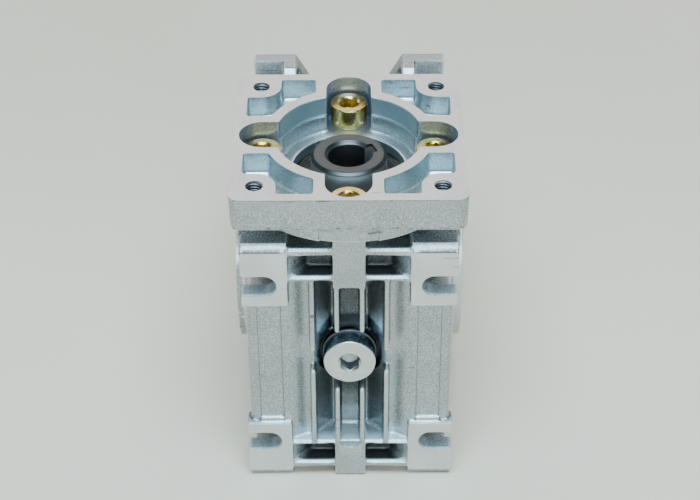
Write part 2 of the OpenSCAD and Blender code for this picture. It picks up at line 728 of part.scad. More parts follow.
module left_bearing_outer_race() color(RACE_COLOUR) on_output(-1) outer_race(OUTPUT_BEARING);
module left_bearing_inner_race() color(RACE_COLOUR) on_output(-1) inner_race(OUTPUT_BEARING);
module left_bearing_balls() color(BALL_COLOUR) on_output(-1) balls(OUTPUT_BEARING);
module left_bearing_cage() color(CAGE_COLOUR) on_output(-1) cage(OUTPUT_BEARING);

module right_bearing_outer_race() color(RACE_COLOUR) on_output(1) outer_race(OUTPUT_BEARING);
module right_bearing_inner_race() color(RACE_COLOUR) on_output(1) inner_race(OUTPUT_BEARING);
module right_bearing_balls() color(BALL_COLOUR) on_output(1) balls(OUTPUT_BEARING);
module right_bearing_cage() color(CAGE_COLOUR) on_output(1) cage(OUTPUT_BEARING);

module output_seal(s) {
  mirror([s < 0 ? 1 : 0, 0, 0]) along_x() translate([0, 0, hub_half - seal_w]) children();
}

module left_seal() color([0.1, 0.1, 0.11]) output_seal(-1) seal(OUTPUT_BEARING[0] / 2, seal_seat_r);
module right_seal() color([0.1, 0.1, 0.11]) output_seal(1) seal(OUTPUT_BEARING[0] / 2, seal_seat_r);
module left_seal_spring() color([0.6, 0.6, 0.6]) output_seal(-1) seal_spring(OUTPUT_BEARING[0] / 2);
module right_seal_spring() color([0.6, 0.6, 0.6]) output_seal(1) seal_spring(OUTPUT_BEARING[0] / 2);

// ---- Oil plug ----

module oil_plug() color([0.82, 0.83, 0.84])
  translate([0, plug_boss_y - washer_t, 0]) rotate([90, 0, 0]) difference() {
    union() {
      cylinder(r = plug_head_r, h = plug_head_h - plug_edge);
      translate([0, 0, plug_head_h - plug_edge])
        cylinder(r1 = plug_head_r, r2 = plug_head_r - plug_edge, h = plug_edge);
      translate([0, 0, -plug_thread_h]) cylinder(r = plug_thread_r, h = plug_thread_h);
    }
    translate([0, 0, 1.7]) cylinder(d = plug_socket / cos(30), h = 10, $fn = 6);
    translate([0, 0, plug_head_h - 0.6]) cylinder(r1 = 2.6, r2 = 3.2, h = 0.7);
  }

module oil_plug_washer() color([0.7, 0.55, 0.35])
  translate([0, plug_boss_y, 0]) rotate([90, 0, 0]) difference() {
    cylinder(r = plug_head_r + 0.4, h = washer_t);
    translate([0, 0, -1]) cylinder(r = plug_thread_r, h = washer_t + 2);
  }

housing();
side_cover();
side_cover_o_ring();
side_cover_screws();
motor_flange();
motor_flange_screws();
worm_shaft();
input_seal();
input_seal_spring();
input_circlip();
input_bearing_outer_race();
input_bearing_inner_race();
input_bearing_balls();
input_bearing_cage();
rear_bearing_outer_race();
rear_bearing_inner_race();
rear_bearing_balls();
rear_bearing_cage();
rear_circlip();
rear_cap();
wheel_hub();
wheel_rim();
left_bearing_outer_race();
left_bearing_inner_race();
left_bearing_balls();
left_bearing_cage();
right_bearing_outer_race();
right_bearing_inner_race();
right_bearing_balls();
right_bearing_cage();
left_seal();
left_seal_spring();
right_seal();
right_seal_spring();
oil_plug();
oil_plug_washer();
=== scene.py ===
"""Looks of a size 30 worm gearbox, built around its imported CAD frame.

The castings are made as real ones are: the CAD shape with machining stock on it is remeshed and
smoothed, which gives the fillets of a die casting, and then turned and milled tools cut the faces,
bores and tapped holes. Shafts, seals and screws are turned solids. Lengths are in metres.
"""

import json
import math

import bmesh
import bpy
import numpy as np
from mathutils import Matrix, Vector

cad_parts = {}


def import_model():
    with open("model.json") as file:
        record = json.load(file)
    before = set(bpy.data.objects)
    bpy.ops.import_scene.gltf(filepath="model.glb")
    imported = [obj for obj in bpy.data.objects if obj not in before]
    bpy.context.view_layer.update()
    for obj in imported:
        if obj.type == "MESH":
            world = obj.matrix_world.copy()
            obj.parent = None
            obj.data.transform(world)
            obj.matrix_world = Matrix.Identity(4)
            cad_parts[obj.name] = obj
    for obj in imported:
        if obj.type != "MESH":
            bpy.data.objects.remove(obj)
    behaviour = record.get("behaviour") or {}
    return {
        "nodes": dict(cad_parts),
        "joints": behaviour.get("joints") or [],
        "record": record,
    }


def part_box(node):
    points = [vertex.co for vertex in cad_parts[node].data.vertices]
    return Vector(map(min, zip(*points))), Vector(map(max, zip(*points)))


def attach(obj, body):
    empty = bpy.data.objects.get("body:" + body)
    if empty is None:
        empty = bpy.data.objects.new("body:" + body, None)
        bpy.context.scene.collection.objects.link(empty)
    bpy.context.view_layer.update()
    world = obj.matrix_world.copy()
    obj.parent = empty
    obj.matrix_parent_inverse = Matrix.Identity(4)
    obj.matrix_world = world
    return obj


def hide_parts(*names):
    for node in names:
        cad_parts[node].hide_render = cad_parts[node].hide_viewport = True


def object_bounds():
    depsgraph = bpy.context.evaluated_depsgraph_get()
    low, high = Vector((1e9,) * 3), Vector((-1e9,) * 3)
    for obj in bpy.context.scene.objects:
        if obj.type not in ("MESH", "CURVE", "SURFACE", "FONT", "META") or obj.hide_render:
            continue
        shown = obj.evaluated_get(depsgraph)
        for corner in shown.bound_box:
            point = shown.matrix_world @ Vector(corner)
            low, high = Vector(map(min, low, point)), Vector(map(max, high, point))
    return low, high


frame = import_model()
cad_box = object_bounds()

MM = 0.001
TURN = 2 * math.pi
record = frame["record"]
joints = {j["name"]: j for j in frame["joints"]}
mounts = {m["name"]: m for m in record["mounts"]}

# ---- Sizes, from the frame where it gives them ----

WORM_AXIS = Vector(joints["worm_spin"]["pos_m"])
AT_WORM = Matrix.Translation(WORM_AXIS)
ALONG_X = Matrix.Rotation(math.pi / 2, 4, "Y")
housing_low, housing_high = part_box("housing")
flange_low, flange_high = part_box("motor_flange")
cover_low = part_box("side_cover")[0]
plug_low, plug_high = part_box("oil_plug")
washer_low, washer_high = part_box("oil_plug_washer")
shaft_low, shaft_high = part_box("worm_shaft")
hub_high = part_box("wheel_hub")[1]

FRONT_Y, BACK_Y = housing_low.y, housing_high.y
JOINT_Z = housing_high.z
FOOT_END = -housing_low.z
BOSS_FACE = -mounts["output_bolts_left"]["pos_m"][0]
HUB_HALF = hub_high.x
PILOT_R = mounts["output_pilot_left"]["dims"]["r_mm"] * MM
BOLT_CIRCLE_R = mounts["output_bolts_left"]["dims"]["pcd_mm"] / 2 * MM
MOTOR_HOLE_AT = mounts["motor_bolts"]["dims"]["spacing_x_mm"] / 2 * MM
MOTOR_PILOT_R = mounts["motor_pilot"]["dims"]["r_mm"] * MM
MOTOR_PILOT_DEPTH = mounts["motor_pilot"]["dims"]["length_mm"] * MM
INPUT_BORE_R = mounts["input_bore"]["dims"]["r_mm"] * MM
OUTPUT_BORE_R = mounts["output_bore"]["dims"]["r_mm"] * MM
BOSS_R = 37.5 * MM
COVER_JOINT = 20 * MM
SCREW_CIRCLE_R = 22.5 * MM
COVER_SCREW_CIRCLE_R = 32 * MM
COVER_SCREW_SEAT = BOSS_FACE - 4.6 * MM
FLANGE_FLOOR = 46 * MM
FLANGE_EDGE = 47.1 * MM
SEAL_WIDTH = 7 * MM

# Castings
VOXEL = 0.32 * MM
STOCK = 0.45 * MM
FOOT_X = 15.9 * MM
CHAMFER_SLOPE = 2.4 / 1.3
FOOT_CHAMFER_Z = FOOT_END - 2.4 * MM
CAST_FACES = 150000
CLEAR = 0.05 * MM


# ---- Solids: each is a list of points and a list of faces ----


def box(low, high):
    ends = list(zip(low, high))
    points = [Vector((x, y, z)) for z in ends[2] for y in ends[1] for x in ends[0]]
    faces = [(0, 2, 3, 1), (4, 5, 7, 6), (0, 1, 5, 4), (2, 6, 7, 3), (0, 4, 6, 2), (1, 3, 7, 5)]
    return points, faces


def lathe(outline, place=Matrix(), segments=128):
    """Solid turned about the Z axis from a closed outline of (radius, height) points."""
    points, rings = [], []
    for radius, height in outline:
        count = segments if radius > 1e-9 else 1
        rings.append([len(points) + i for i in range(count)])
        for i in range(count):
            a = TURN * i / segments
            points.append(place @ Vector((radius * math.cos(a), radius * math.sin(a), height)))
    faces = []
    for one, two in zip(rings, rings[1:] + rings[:1]):
        for i in range(segments):
            j = (i + 1) % segments
            if len(one) > 1 and len(two) > 1:
                faces.append((one[i], one[j], two[j], two[i]))
            elif len(one) > 1:
                faces.append((one[i], one[j], two[0]))
            elif len(two) > 1:
                faces.append((one[0], two[j], two[i]))
    return points, faces


def mm(*outline):
    """Points given in millimetres."""
    return [(x * MM, y * MM) for x, y in outline]


def rod(radius, low, high, place=Matrix(), segments=96):
    return lathe([(0, low), (radius, low), (radius, high), (0, high)], place, segments)


def rounded(outline, radius, steps=4):
    """The closed outline with each corner off the axis rounded, as far as its two sides allow.
    A point just past each end of a round keeps the shading of the flat beside it flat."""
    made = []
    count = len(outline)
    for i, corner in enumerate(outline):
        here = Vector(corner)
        before, after = Vector(outline[i - 1]) - here, Vector(outline[(i + 1) % count]) - here
        if corner[0] < 1e-9:
            made.append(tuple(here))
            continue
        half = before.angle(after) / 2
        cut_back = min(radius / math.tan(half), before.length * 0.42, after.length * 0.42)
        start, end = here + before.normalized() * cut_back, here + after.normalized() * cut_back
        made.append(tuple(here + before.normalized() * cut_back * 1.12))
        for k in range(steps + 1):
            t = k / steps
            made.append(tuple(start * (1 - t) ** 2 + here * 2 * t * (1 - t) + end * t**2))
        made.append(tuple(here + after.normalized() * cut_back * 1.12))
    return made


def prism(outline, low, high, place=Matrix()):
    """Right prism of an (x, y) outline between two heights."""
    count = len(outline)
    points = [place @ Vector((x, y, z)) for z in (low, high) for x, y in outline]
    faces = [tuple(range(count))[::-1], tuple(range(count, 2 * count))]
    faces += [(i, (i + 1) % count, count + (i + 1) % count, count + i) for i in range(count)]
    return points, faces


def hexagon(across_flats, turn=0.0):
    r = across_flats / 2 / math.cos(math.pi / 6)
    return [(r * math.cos(TURN * k / 6 + turn), r * math.sin(TURN * k / 6 + turn)) for k in range(6)]


def helix(radius_at, lead, low, high, place=Matrix(), segments=48, rows_per_lead=14):
    """Right-hand threaded rod. radius_at gives the radius at a distance along the axis from a crest."""
    rows = max(2, math.ceil((high - low) / lead * rows_per_lead))
    points = []
    for row in range(rows + 1):
        z = low + (high - low) * row / rows
        for i in range(segments):
            a = TURN * i / segments
            from_crest = (z / lead - (a / TURN - 0.25) + 0.5) % 1 - 0.5
            r = radius_at(abs(from_crest) * lead)
            points.append(place @ Vector((r * math.cos(a), r * math.sin(a), z)))
    faces = []
    for row in range(rows):
        for i in range(segments):
            j = (i + 1) % segments
            base, top = row * segments, (row + 1) * segments
            faces.append((base + i, base + j, top + j, top + i))
    faces.append(tuple(range(segments))[::-1])
    faces.append(tuple(range(rows * segments, (rows + 1) * segments)))
    return points, faces


def screw_thread(major_r, pitch, low, high, place=Matrix(), inside=False):
    """Metric thread. As a tool for a tapped hole its crest is the hole's root, cut a little deeper."""
    depth = 0.58 * pitch
    crest_flat = pitch * (0.1 if inside else 0.08)

    def radius_at(d):
        flank = min(1.0, max(0.0, (d - crest_flat) / (pitch / 2 - 2 * crest_flat)))
        return major_r - depth * flank

    return helix(radius_at, pitch, low, high, place)


def joined(*solids):
    points, faces = [], []
    for more_points, more_faces in solids:
        faces += [tuple(i + len(points) for i in face) for face in more_faces]
        points += more_points
    return points, faces


def round_places(radius, start=0.0, count=4):
    """Places on a circle about Z, the first at the angle start in turns."""
    out = Matrix.Translation((radius, 0, 0))
    return [Matrix.Rotation(TURN * (start + k / count), 4, "Z") @ out for k in range(count)]


# ---- Objects ----


def new_object(name, mesh):
    made = bpy.data.objects.new(name, mesh)
    bpy.context.scene.collection.objects.link(made)
    return made


def solid_object(name, solid, material=None):
    """Object of a solid, with its faces turned outwards."""
    mesh = bpy.data.meshes.new(name)
    work = bmesh.new()
    points = [work.verts.new(p) for p in solid[0]]
    for face in solid[1]:
        work.faces.new([points[i] for i in face])
    bmesh.ops.recalc_face_normals(work, faces=work.faces)
    work.to_mesh(mesh)
    work.free()
    if material:
        mesh.materials.append(material)
    return new_object(name, mesh)


def remove(obj):
    mesh = obj.data
    bpy.data.objects.remove(obj)
    bpy.data.meshes.remove(mesh)


def bake_modifiers(obj):
    """Applies the object's modifiers to its mesh."""
    bpy.context.view_layer.update()
    shaped = obj.evaluated_get(bpy.context.evaluated_depsgraph_get())
    mesh = bpy.data.meshes.new_from_object(shaped)
    obj.modifiers.clear()
    old = obj.data
    obj.data = mesh
    bpy.data.meshes.remove(old)


def combine(obj, solid, material, operation="DIFFERENCE"):
    """Cuts the solid from the object, or adds it. The new faces get the material."""
    tool = solid_object("tool", solid, material)
    change = obj.modifiers.new("change", "BOOLEAN")
    change.object = tool
    change.operation = operation
    change.solver = "MANIFOLD"
    change.material_mode = "TRANSFER"
    bake_modifiers(obj)
    remove(tool)


def finish_piece(obj, body, slot, *nodes, sharp=30):
    """Shades the piece, sets its body, and hides the CAD nodes it stands for. The slot is not used."""
    obj.data.polygons.foreach_set("use_smooth", [True] * len(obj.data.polygons))
    obj.data.set_sharp_from_angle(angle=math.radians(sharp))
    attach(obj, body)
    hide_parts(*nodes)
    return obj


def smooth(mesh, spread, share=None):
    """Diffuses the shape over a length: again and again each point moves half way to the mean of
    its neighbours. share scales that at each point."""
    rounds = max(1, round(4 * (spread / VOXEL) ** 2))
    count = len(mesh.vertices)
    at = np.empty(count * 3)
    mesh.vertices.foreach_get("co", at)
    at = at.reshape(-1, 3)
    ends = np.empty(len(mesh.edges) * 2, np.int64)
    mesh.edges.foreach_get("vertices", ends)
    one, two = ends.reshape(-1, 2).T
    degree = np.bincount(one, minlength=count) + np.bincount(two, minlength=count)
    weight = 0.5 if share is None else 0.5 * share(at)[:, None]
    for _ in range(rounds):
        sums = [np.bincount(one, at[two, k], minlength=count)
                + np.bincount(two, at[one, k], minlength=count) for k in range(3)]
        total = np.stack(sums, axis=1)
        at += weight * (total / degree[:, None] - at)
    mesh.vertices.foreach_set("co", at.ravel())
    mesh.update()


def casting(name, node, planes, fills, material, spread, extra=None):
    """Cast blank of a CAD node. planes are (axis, value, side) of the machined faces, which get stock.
    fills are solids added before the remesh, which close the bores. spread is the length over which
    edges are smoothed, and extra is (spread, share) of a second smoothing."""
    work = bmesh.new()
    work.from_mesh(frame["nodes"][node].data)
    bmesh.ops.remove_doubles(work, verts=work.verts, dist=1e-7)
    for axis, value, side in planes:
        for v in work.verts:
            if abs(v.co[axis] - value) < 5e-6:
                if axis == 1 and side < 0 and abs(v.co.x) < FOOT_X:
                    v.co.y += 0.06 * MM
                    continue
                v.co[axis] += side * STOCK
                if axis == 1 and abs(abs(v.co.z) - FOOT_CHAMFER_Z) < CLEAR:
                    v.co.z -= math.copysign(STOCK * CHAMFER_SLOPE, v.co.z)
    mesh = bpy.data.meshes.new(name)
    work.to_mesh(mesh)
    work.free()
    shape = [v.co.copy() for v in mesh.vertices], [tuple(p.vertices) for p in mesh.polygons]
    bpy.data.meshes.remove(mesh)
    blank = solid_object(name, joined(shape, *fills), material)
    remesh = blank.modifiers.new("remesh", "REMESH")
    remesh.mode = "VOXEL"
    remesh.voxel_size = VOXEL
    bake_modifiers(blank)
    smooth(blank.data, spread)
    if extra:
        smooth(blank.data, *extra)
    thin = blank.modifiers.new("thin", "DECIMATE")
    thin.ratio = min(1.0, CAST_FACES / len(blank.data.polygons) / 2)
    bake_modifiers(blank)
    if not blank.data.materials:
        blank.data.materials.append(material)
    return blank


# ---- Materials ----


def feed(tree, socket, value):
    """Links a value that is a socket, and sets any other."""
    if isinstance(value, bpy.types.NodeSocket):
        tree.links.new(value, socket)
    else:
        socket.default_value = value


def add(tree, kind, settings=None, **inputs):
    """New shader node. Each input is a value or a socket to link from."""
    made = tree.nodes.new("ShaderNode" + kind)
    for key, value in (settings or {}).items():
        setattr(made, key, value)
    for key, value in inputs.items():
        feed(tree, made.inputs[key.replace("_", " ")], value)
    return made


def calc(tree, operation, *values):
    made = add(tree, "Math", {"operation": operation})
    for socket, value in zip(made.inputs, values):
        feed(tree, socket, value)
    return made.outputs[0]


def noise(tree, at, scale, detail=2.0, roughness=0.5):
    return add(tree, "TexNoise", Vector=at, Scale=scale, Detail=detail, Roughness=roughness).outputs["Fac"]


def ramp(tree, factor, *stops):
    """Colour ramp through (position, colour) stops; a single number is a grey."""
    made = add(tree, "ValToRGB", Fac=factor)
    elements = made.color_ramp.elements
    while len(elements) < len(stops):
        elements.new(0.5)
    for element, (position, colour) in zip(elements, stops):
        element.position = position
        element.color = (colour,) * 3 + (1,) if isinstance(colour, (int, float)) else (*colour, 1)
    return made.outputs["Color"]


def blend(tree, factor, one, two):
    made = add(tree, "Mix", {"data_type": "RGBA"})
    for index, value in ((0, factor), (6, one), (7, two)):
        feed(tree, made.inputs[index], (*value, 1) if isinstance(value, tuple) else value)
    return made.outputs[2]


def bump(tree, height, strength, distance, normal=None):
    made = add(tree, "Bump", Height=height, Strength=strength, Distance=distance)
    if normal:
        tree.links.new(normal, made.inputs["Normal"])
    return made.outputs["Normal"]


def surface(name, metallic):
    """New material. Returns it with its node tree, its Principled node and object coordinates."""
    material = bpy.data.materials.new(name)
    material.use_nodes = True
    tree = material.node_tree
    shader = tree.nodes["Principled BSDF"]
    shader.inputs["Metallic"].default_value = metallic
    return material, tree, shader, add(tree, "TexCoord").outputs["Object"]


def drive(tree, shader, colour, roughness, normal):
    tree.links.new(colour, shader.inputs["Base Color"])
    tree.links.new(roughness, shader.inputs["Roughness"])
    tree.links.new(normal, shader.inputs["Normal"])


def spots(tree, at, cell, size, share):
    """Sparse round spots: one in each cell at most, of a size in metres, in a share of the cells."""
    cells = add(tree, "TexVoronoi", Vector=at, Scale=1 / cell)
    distance = calc(tree, "MULTIPLY", cells.outputs["Distance"], cell)
    near = calc(tree, "LESS_THAN", distance, size)
    drawn = add(tree, "SeparateColor", Color=cells.outputs["Color"]).outputs[0]
    chosen = calc(tree, "LESS_THAN", drawn, share)
    return calc(tree, "MULTIPLY", near, chosen)


def scratches(tree, at, spacing, turn, amount):
    """Thin lines across the surface, from noise stretched along one direction."""
    placed = add(tree, "Mapping", Vector=at, Rotation=turn, Scale=(0.04, 1, 1)).outputs[0]
    lines = noise(tree, placed, 1 / spacing, 1)
    broken = noise(tree, at, 90, 2)
    line = ramp(tree, lines, (0.715, 0), (0.73, 1))
    return calc(tree, "MULTIPLY", line, ramp(tree, broken, (1 - amount - 0.05, 0), (1 - amount, 1)))


def fade(tree, value, start, end):
    """0 below start and 1 above end, smooth between; the other way round if end is the lower."""
    settings = {"interpolation_type": "SMOOTHSTEP"}
    low, high = sorted((start, end))
    made = add(tree, "MapRange", settings, Value=value, From_Min=low, From_Max=high)
    return made.outputs[0] if start < end else calc(tree, "SUBTRACT", 1.0, made.outputs[0])


def zone(tree, value, start, end, base=0.0):
    """The same as fade, with lengths in millimetres from a base."""
    return fade(tree, value, base + start * MM, base + end * MM)


def product(tree, *factors):
    total = factors[0]
    for factor in factors[1:]:
        total = calc(tree, "MULTIPLY", total, factor)
    return total


def highest(tree, *values):
    total = values[0]
    for value in values[1:]:
        total = calc(tree, "MAXIMUM", total, value)
    return total


def off_centre(tree, value, centre=0.0):
    """How far a value is from a centre, on either side."""
    return calc(tree, "ABSOLUTE", calc(tree, "SUBTRACT", value, centre) if centre else value)


def distance_from_axis(tree, one, two):
    squares = [calc(tree, "MULTIPLY", value, value) for value in (one, two)]
    return calc(tree, "SQRT", calc(tree, "ADD", *squares))


def shaded_places(tree, at):
    """Masks of painted shade on the cast front: the channel and pockets, which are also made rougher, and the
    seat round the filler hole, painted near black."""
    x, y, z = add(tree, "SeparateXYZ", Vector=at).outputs
    side = off_centre(tree, x)
    middle = zone(tree, side, 9.3, 8.6)
    front = zone(tree, y, 14, 11, FRONT_Y)
    under_bar = zone(tree, z, 29.4, 28.4)
    above_bar = zone(tree, z, -26.8, -25.5)
    height = highest(tree, zone(tree, z, -22, -13), 0.6)
    across = highest(tree, zone(tree, side, 4.4, 3), 0.62)
    channel = product(tree, middle, across, zone(tree, y, 2, 6, FRONT_Y), under_bar, above_bar, height)
    level = off_centre(tree, off_centre(tree, z), 33 * MM)
    pockets = product(tree, zone(tree, side, 13.6, 10), zone(tree, level, 5.6, 4.6),
                      zone(tree, y, 0.9, 1.6, FRONT_Y))
    # Seat round the filler hole, the ring above the plug, the strip below it and part of the pockets: painted
    # shade
    radius = distance_from_axis(tree, x, z)
    low = zone(tree, y, 4, 6, FRONT_Y)
    above = product(tree, zone(tree, radius, 13, 11.4), zone(tree, z, -5, 1), 0.9)
    seat = product(tree, highest(tree, zone(tree, radius, 9.2, 8.7), above), low, middle)
    below = product(tree, zone(tree, side, 4, 3), zone(tree, z, -3, -8), low,
                    zone(tree, z, -23, -19), 0.42)
    seat = highest(tree, seat, below, product(tree, pockets, 0.3))
    return product(tree, highest(tree, channel, pockets), front), product(tree, seat, front)


def painted_light_places(tree, at, up):
    """Masks of painted light and shade on cast surfaces: the inside of the motor flange, painted as lit from
    overhead; the slots of the feet, painted shade; and edges that face upwards: all of them, painted shade;
    those on the front; and those on bars and feet, painted highlight."""
    x, y, z = add(tree, "SeparateXYZ", Vector=at).outputs
    side = off_centre(tree, x)
    across = off_centre(tree, y, WORM_AXIS.y)
    inner = flange_high.x - 1.6 * MM
    inside = product(tree, zone(tree, side, 0.4, 0, inner), zone(tree, across, 0.4, 0, inner),
                     zone(tree, z, 45, 46))
    level = off_centre(tree, off_centre(tree, z), 27 * MM)
    shaded_tops = product(tree, fade(tree, up, 0.8, 0.92), zone(tree, z, 39.2, 39.6), zone(tree, z, 41.5, 41))
    front_tops = product(tree, shaded_tops, zone(tree, y, 1, -1))
    slots = product(tree, zone(tree, side, 17, 18), zone(tree, y, 0.1, 0.5, FRONT_Y),
                    zone(tree, level, 4.2, 3.5), zone(tree, y, 16, 13, FRONT_Y))
    near = zone(tree, y, 1.5, 0.8, FRONT_Y)
    bar = product(tree, zone(tree, y, 9.5, 1, FRONT_Y), zone(tree, side, 16.2, 15.8),
                  zone(tree, z, -25.8, -26.6), zone(tree, z, -29, -28))
    lips = product(tree, fade(tree, up, 0.3, 0.55), highest(tree, near, bar), zone(tree, z, 39.4, 39))
    return inside, slots, shaded_tops, front_tops, lips


def screw_recess(tree, at):
    """Mask of the walls round the four flange screws."""
    x, y, _ = add(tree, "SeparateXYZ", Vector=at).outputs
    across = calc(tree, "SUBTRACT", y, WORM_AXIS.y)
    nearest = calc(tree, "MINIMUM", off_centre(tree, x), off_centre(tree, across))
    radius = distance_from_axis(tree, x, across)
    return product(tree, zone(tree, nearest, 6.4, 5.9), zone(tree, radius, 16.5, 17.5))


def edge_nicks(tree, at):
    """Mask of small dents along the lower and upper edges of the motor flange's sides, the line of
    its rim, and the line under the upper feet's chamfers."""
    x, y, z = add(tree, "SeparateXYZ", Vector=at).outputs
    side = off_centre(tree, x)
    outside = zone(tree, highest(tree, side, off_centre(tree, y, WORM_AXIS.y)), -1.4, -1.1, flange_high.x)
    low = off_centre(tree, z, 47.3 * MM)
    high = off_centre(tree, z, flange_high.z)
    edges = highest(tree, zone(tree, low, 1.1, 0.2), zone(tree, high, 0.5, 0.1))
    flat = add(tree, "Mapping", Vector=at, Scale=(1, 1, 2.5)).outputs[0]
    dents = ramp(tree, noise(tree, flat, 620, 4, 0.7), (0.56, 0), (0.6, 1))
    foot_edge = product(tree, zone(tree, side, 16, 16.3), zone(tree, z, 0.5, 0.25, FOOT_CHAMFER_Z),
                        zone(tree, z, -0.6, -0.4, FOOT_CHAMFER_Z), zone(tree, y, 1, 0.6, FRONT_Y), 0.6)
    rim = product(tree, outside, zone(tree, high, 0.4, 0.1), 0.35)
    return highest(tree, product(tree, outside, edges, dents, 0.8), rim, foot_edge)


def cast_aluminium():
    material, tree, shader, at = surface("cast_aluminium", 1.0)
    patches = noise(tree, at, 110, 4, 0.6)
    grain = noise(tree, at, 2600, 2, 0.6)
    sparkle = noise(tree, at, 5200, 1)
    pits = spots(tree, at, 2.4 * MM, 0.15 * MM, 0.22)
    recess_shade, seat = shaded_places(tree, at)
    up = add(tree, "SeparateXYZ", Vector=add(tree, "TexCoord").outputs["Normal"]).outputs[2]
    inside, slots, shaded_tops, front_tops, lips = painted_light_places(tree, at, up)
    # Inside the motor flange, upward faces are painted bright blue, painted overhead light, and the walls
    # round the screws bluish, painted light
    recess = blend(tree, fade(tree, up, 0.4, 0.85), (0.43, 0.52, 0.56), (0.80, 0.98, 1.0))
    recess = blend(tree, screw_recess(tree, at), recess, (0.49, 0.585, 0.78))
    speckled = ramp(tree, grain, (0.3, (0.10, 0.13, 0.145)), (0.65, (0.45, 0.53, 0.56)))
    # Colour of the painted shade in the channel and pockets
    grey = ramp(tree, sparkle, (0.45, (0.07, 0.075, 0.078)), (0.75, (0.3, 0.3, 0.3)))
    # Edges are painted bright, painted highlight with rubbed wear, and creases dark, painted shade with grime
    pointed = add(tree, "NewGeometry").outputs["Pointiness"]
    edge_sheen_and_wear, crease_shade_and_grime = ramp(tree, pointed, (0.515, 0), (0.55, 1)), ramp(tree, pointed, (0.43, 1), (0.475, 0))
    nicks = scratches(tree, at, 1.3 * MM, (0.05, 0.1, 0.2), 0.46)
    colour = ramp(tree, patches, (0.3, (0.287, 0.317, 0.328)), (0.7, (0.367, 0.39, 0.40)))
    for mask, tint in (
        (product(tree, inside, 0.95), recess),
        # Slots of the feet painted dark bluish: painted shade
        (product(tree, slots, 0.9), (0.27, 0.41, 0.48)),
        # Tops at the feet's ends darkened: painted shade
        (product(tree, shaded_tops, 0.7), (0.22, 0.26, 0.28)),
        # Tops of the front feet: real speckled grain, darkened as painted shade
        (product(tree, front_tops, 0.9), speckled),
        # Light grains painted as glints of the surface's sparkle: painted highlight on real grain
        (ramp(tree, grain, (0.45, 0.0), (0.7, 0.6)), (0.74, 0.78, 0.80)),
        (ramp(tree, grain, (0.3, 0.6), (0.45, 0.0)), (0.27, 0.31, 0.34)),
        # Channel and pockets darkened: painted shade
        (product(tree, recess_shade, 0.97), grey),
        # Upward lips painted bright blue-white: painted highlight
        (product(tree, lips, ramp(tree, grain, (0.35, 0.45), (0.55, 1.0))), (0.76, 0.95, 1.0)),
        (product(tree, edge_sheen_and_wear, 0.6), (0.84, 0.88, 0.90)),
        (product(tree, crease_shade_and_grime, 0.22), (0.10, 0.115, 0.12)),
        # Seat round the filler hole painted near black: painted shade
        (seat, (0.02, 0.025, 0.03)),
        (product(tree, nicks, 0.8), (0.12, 0.12, 0.12)),
        (pits, (0.05, 0.055, 0.06)),
        (edge_nicks(tree, at), (0.07, 0.07, 0.07)),
    ):
        colour = blend(tree, mask, colour, tint)
    least = [product(tree, mask, value)
             for mask, value in ((slots, 0.55), (lips, 0.6), (front_tops, 0.66), (recess_shade, 0.55))]
    roughness = ramp(tree, sparkle, (0.35, 0.27), (0.65, 0.46))
    roughness = highest(tree, roughness, highest(tree, *least))
    roughness = calc(tree, "SUBTRACT", roughness, product(tree, seat, 0.2))
    normal = bump(tree, grain, 0.6, 0.06 * MM)
    normal = bump(tree, noise(tree, at, 420, 3), 0.3, 0.12 * MM, normal)
    drive(tree, shader, colour, roughness, normal)
    return material


def machined_aluminium(name, low, high):
    material, tree, shader, at = surface(name, 1.0)
    patches = noise(tree, at, 90, 3)
    feed = add(tree, "Mapping", Vector=at, Rotation=(0.2, 0.1, 0.5), Scale=(1, 0.05, 0.05)).outputs[0]
    marks = noise(tree, feed, 2600, 2)
    nicks = scratches(tree, at, 1.1 * MM, (0.4, 0.3, 0.9), 0.42)
    dirt = spots(tree, at, 3.5 * MM, 0.16 * MM, 0.12)
    colour = ramp(tree, patches, (0.3, low), (0.7, high))
    colour = blend(tree, product(tree, nicks, 0.6), colour, (0.24, 0.24, 0.24))
    colour = blend(tree, dirt, colour, (0.1, 0.1, 0.1))
    roughness = ramp(tree, marks, (0.3, 0.4), (0.7, 0.52))
    normal = bump(tree, marks, 0.12, 0.02 * MM)
    normal = bump(tree, noise(tree, at, 3000, 1), 0.12, 0.03 * MM, normal)
    drive(tree, shader, colour, roughness, normal)
    return material


def turned(tree, at, axis):
    """Coordinates of a turned part: its radius and height, so that noise on them runs in rings."""
    x, y, z = add(tree, "SeparateXYZ", Vector=at).outputs
    if axis == "worm":
        radius, height = distance_from_axis(tree, x, calc(tree, "SUBTRACT", y, WORM_AXIS.y)), z
    elif axis == "plug":
        radius, height = distance_from_axis(tree, x, z), y
    else:
        radius, height = distance_from_axis(tree, y, z), x
    return add(tree, "CombineXYZ", X=radius, Y=height).outputs[0]


def turned_steel(axis):
    material, tree, shader, at = surface("turned_steel_" + axis, 1.0)
    rings = turned(tree, at, axis)
    marks = noise(tree, rings, 5200, 2, 0.7)
    stain = noise(tree, at, 260, 4, 0.6)
    colour = ramp(tree, stain, (0.3, (0.058, 0.063, 0.065)), (0.7, (0.088, 0.094, 0.097)))
    colour = blend(tree, ramp(tree, marks, (0.4, 0.0), (0.7, 0.2)), colour, (0.24, 0.24, 0.25))
    # Ground journals are lighter than the end faces; the bores are darkened with painted shade
    radius, height, _ = add(tree, "SeparateXYZ", Vector=rings).outputs
    end = shaft_high.z if axis == "worm" else HUB_HALF
    bore_r = INPUT_BORE_R if axis == "worm" else OUTPUT_BORE_R
    journal = zone(tree, off_centre(tree, height), -0.6, -1.2, end)
    colour = blend(tree, journal, colour, (0.60, 0.61, 0.62))
    colour = blend(tree, zone(tree, radius, 0.3, 0.1, bore_r), colour, (0.16, 0.165, 0.17))
    roughness = ramp(tree, stain, (0.3, 0.36), (0.7, 0.46))
    drive(tree, shader, colour, roughness, bump(tree, marks, 0.2, 0.02 * MM))
    return material


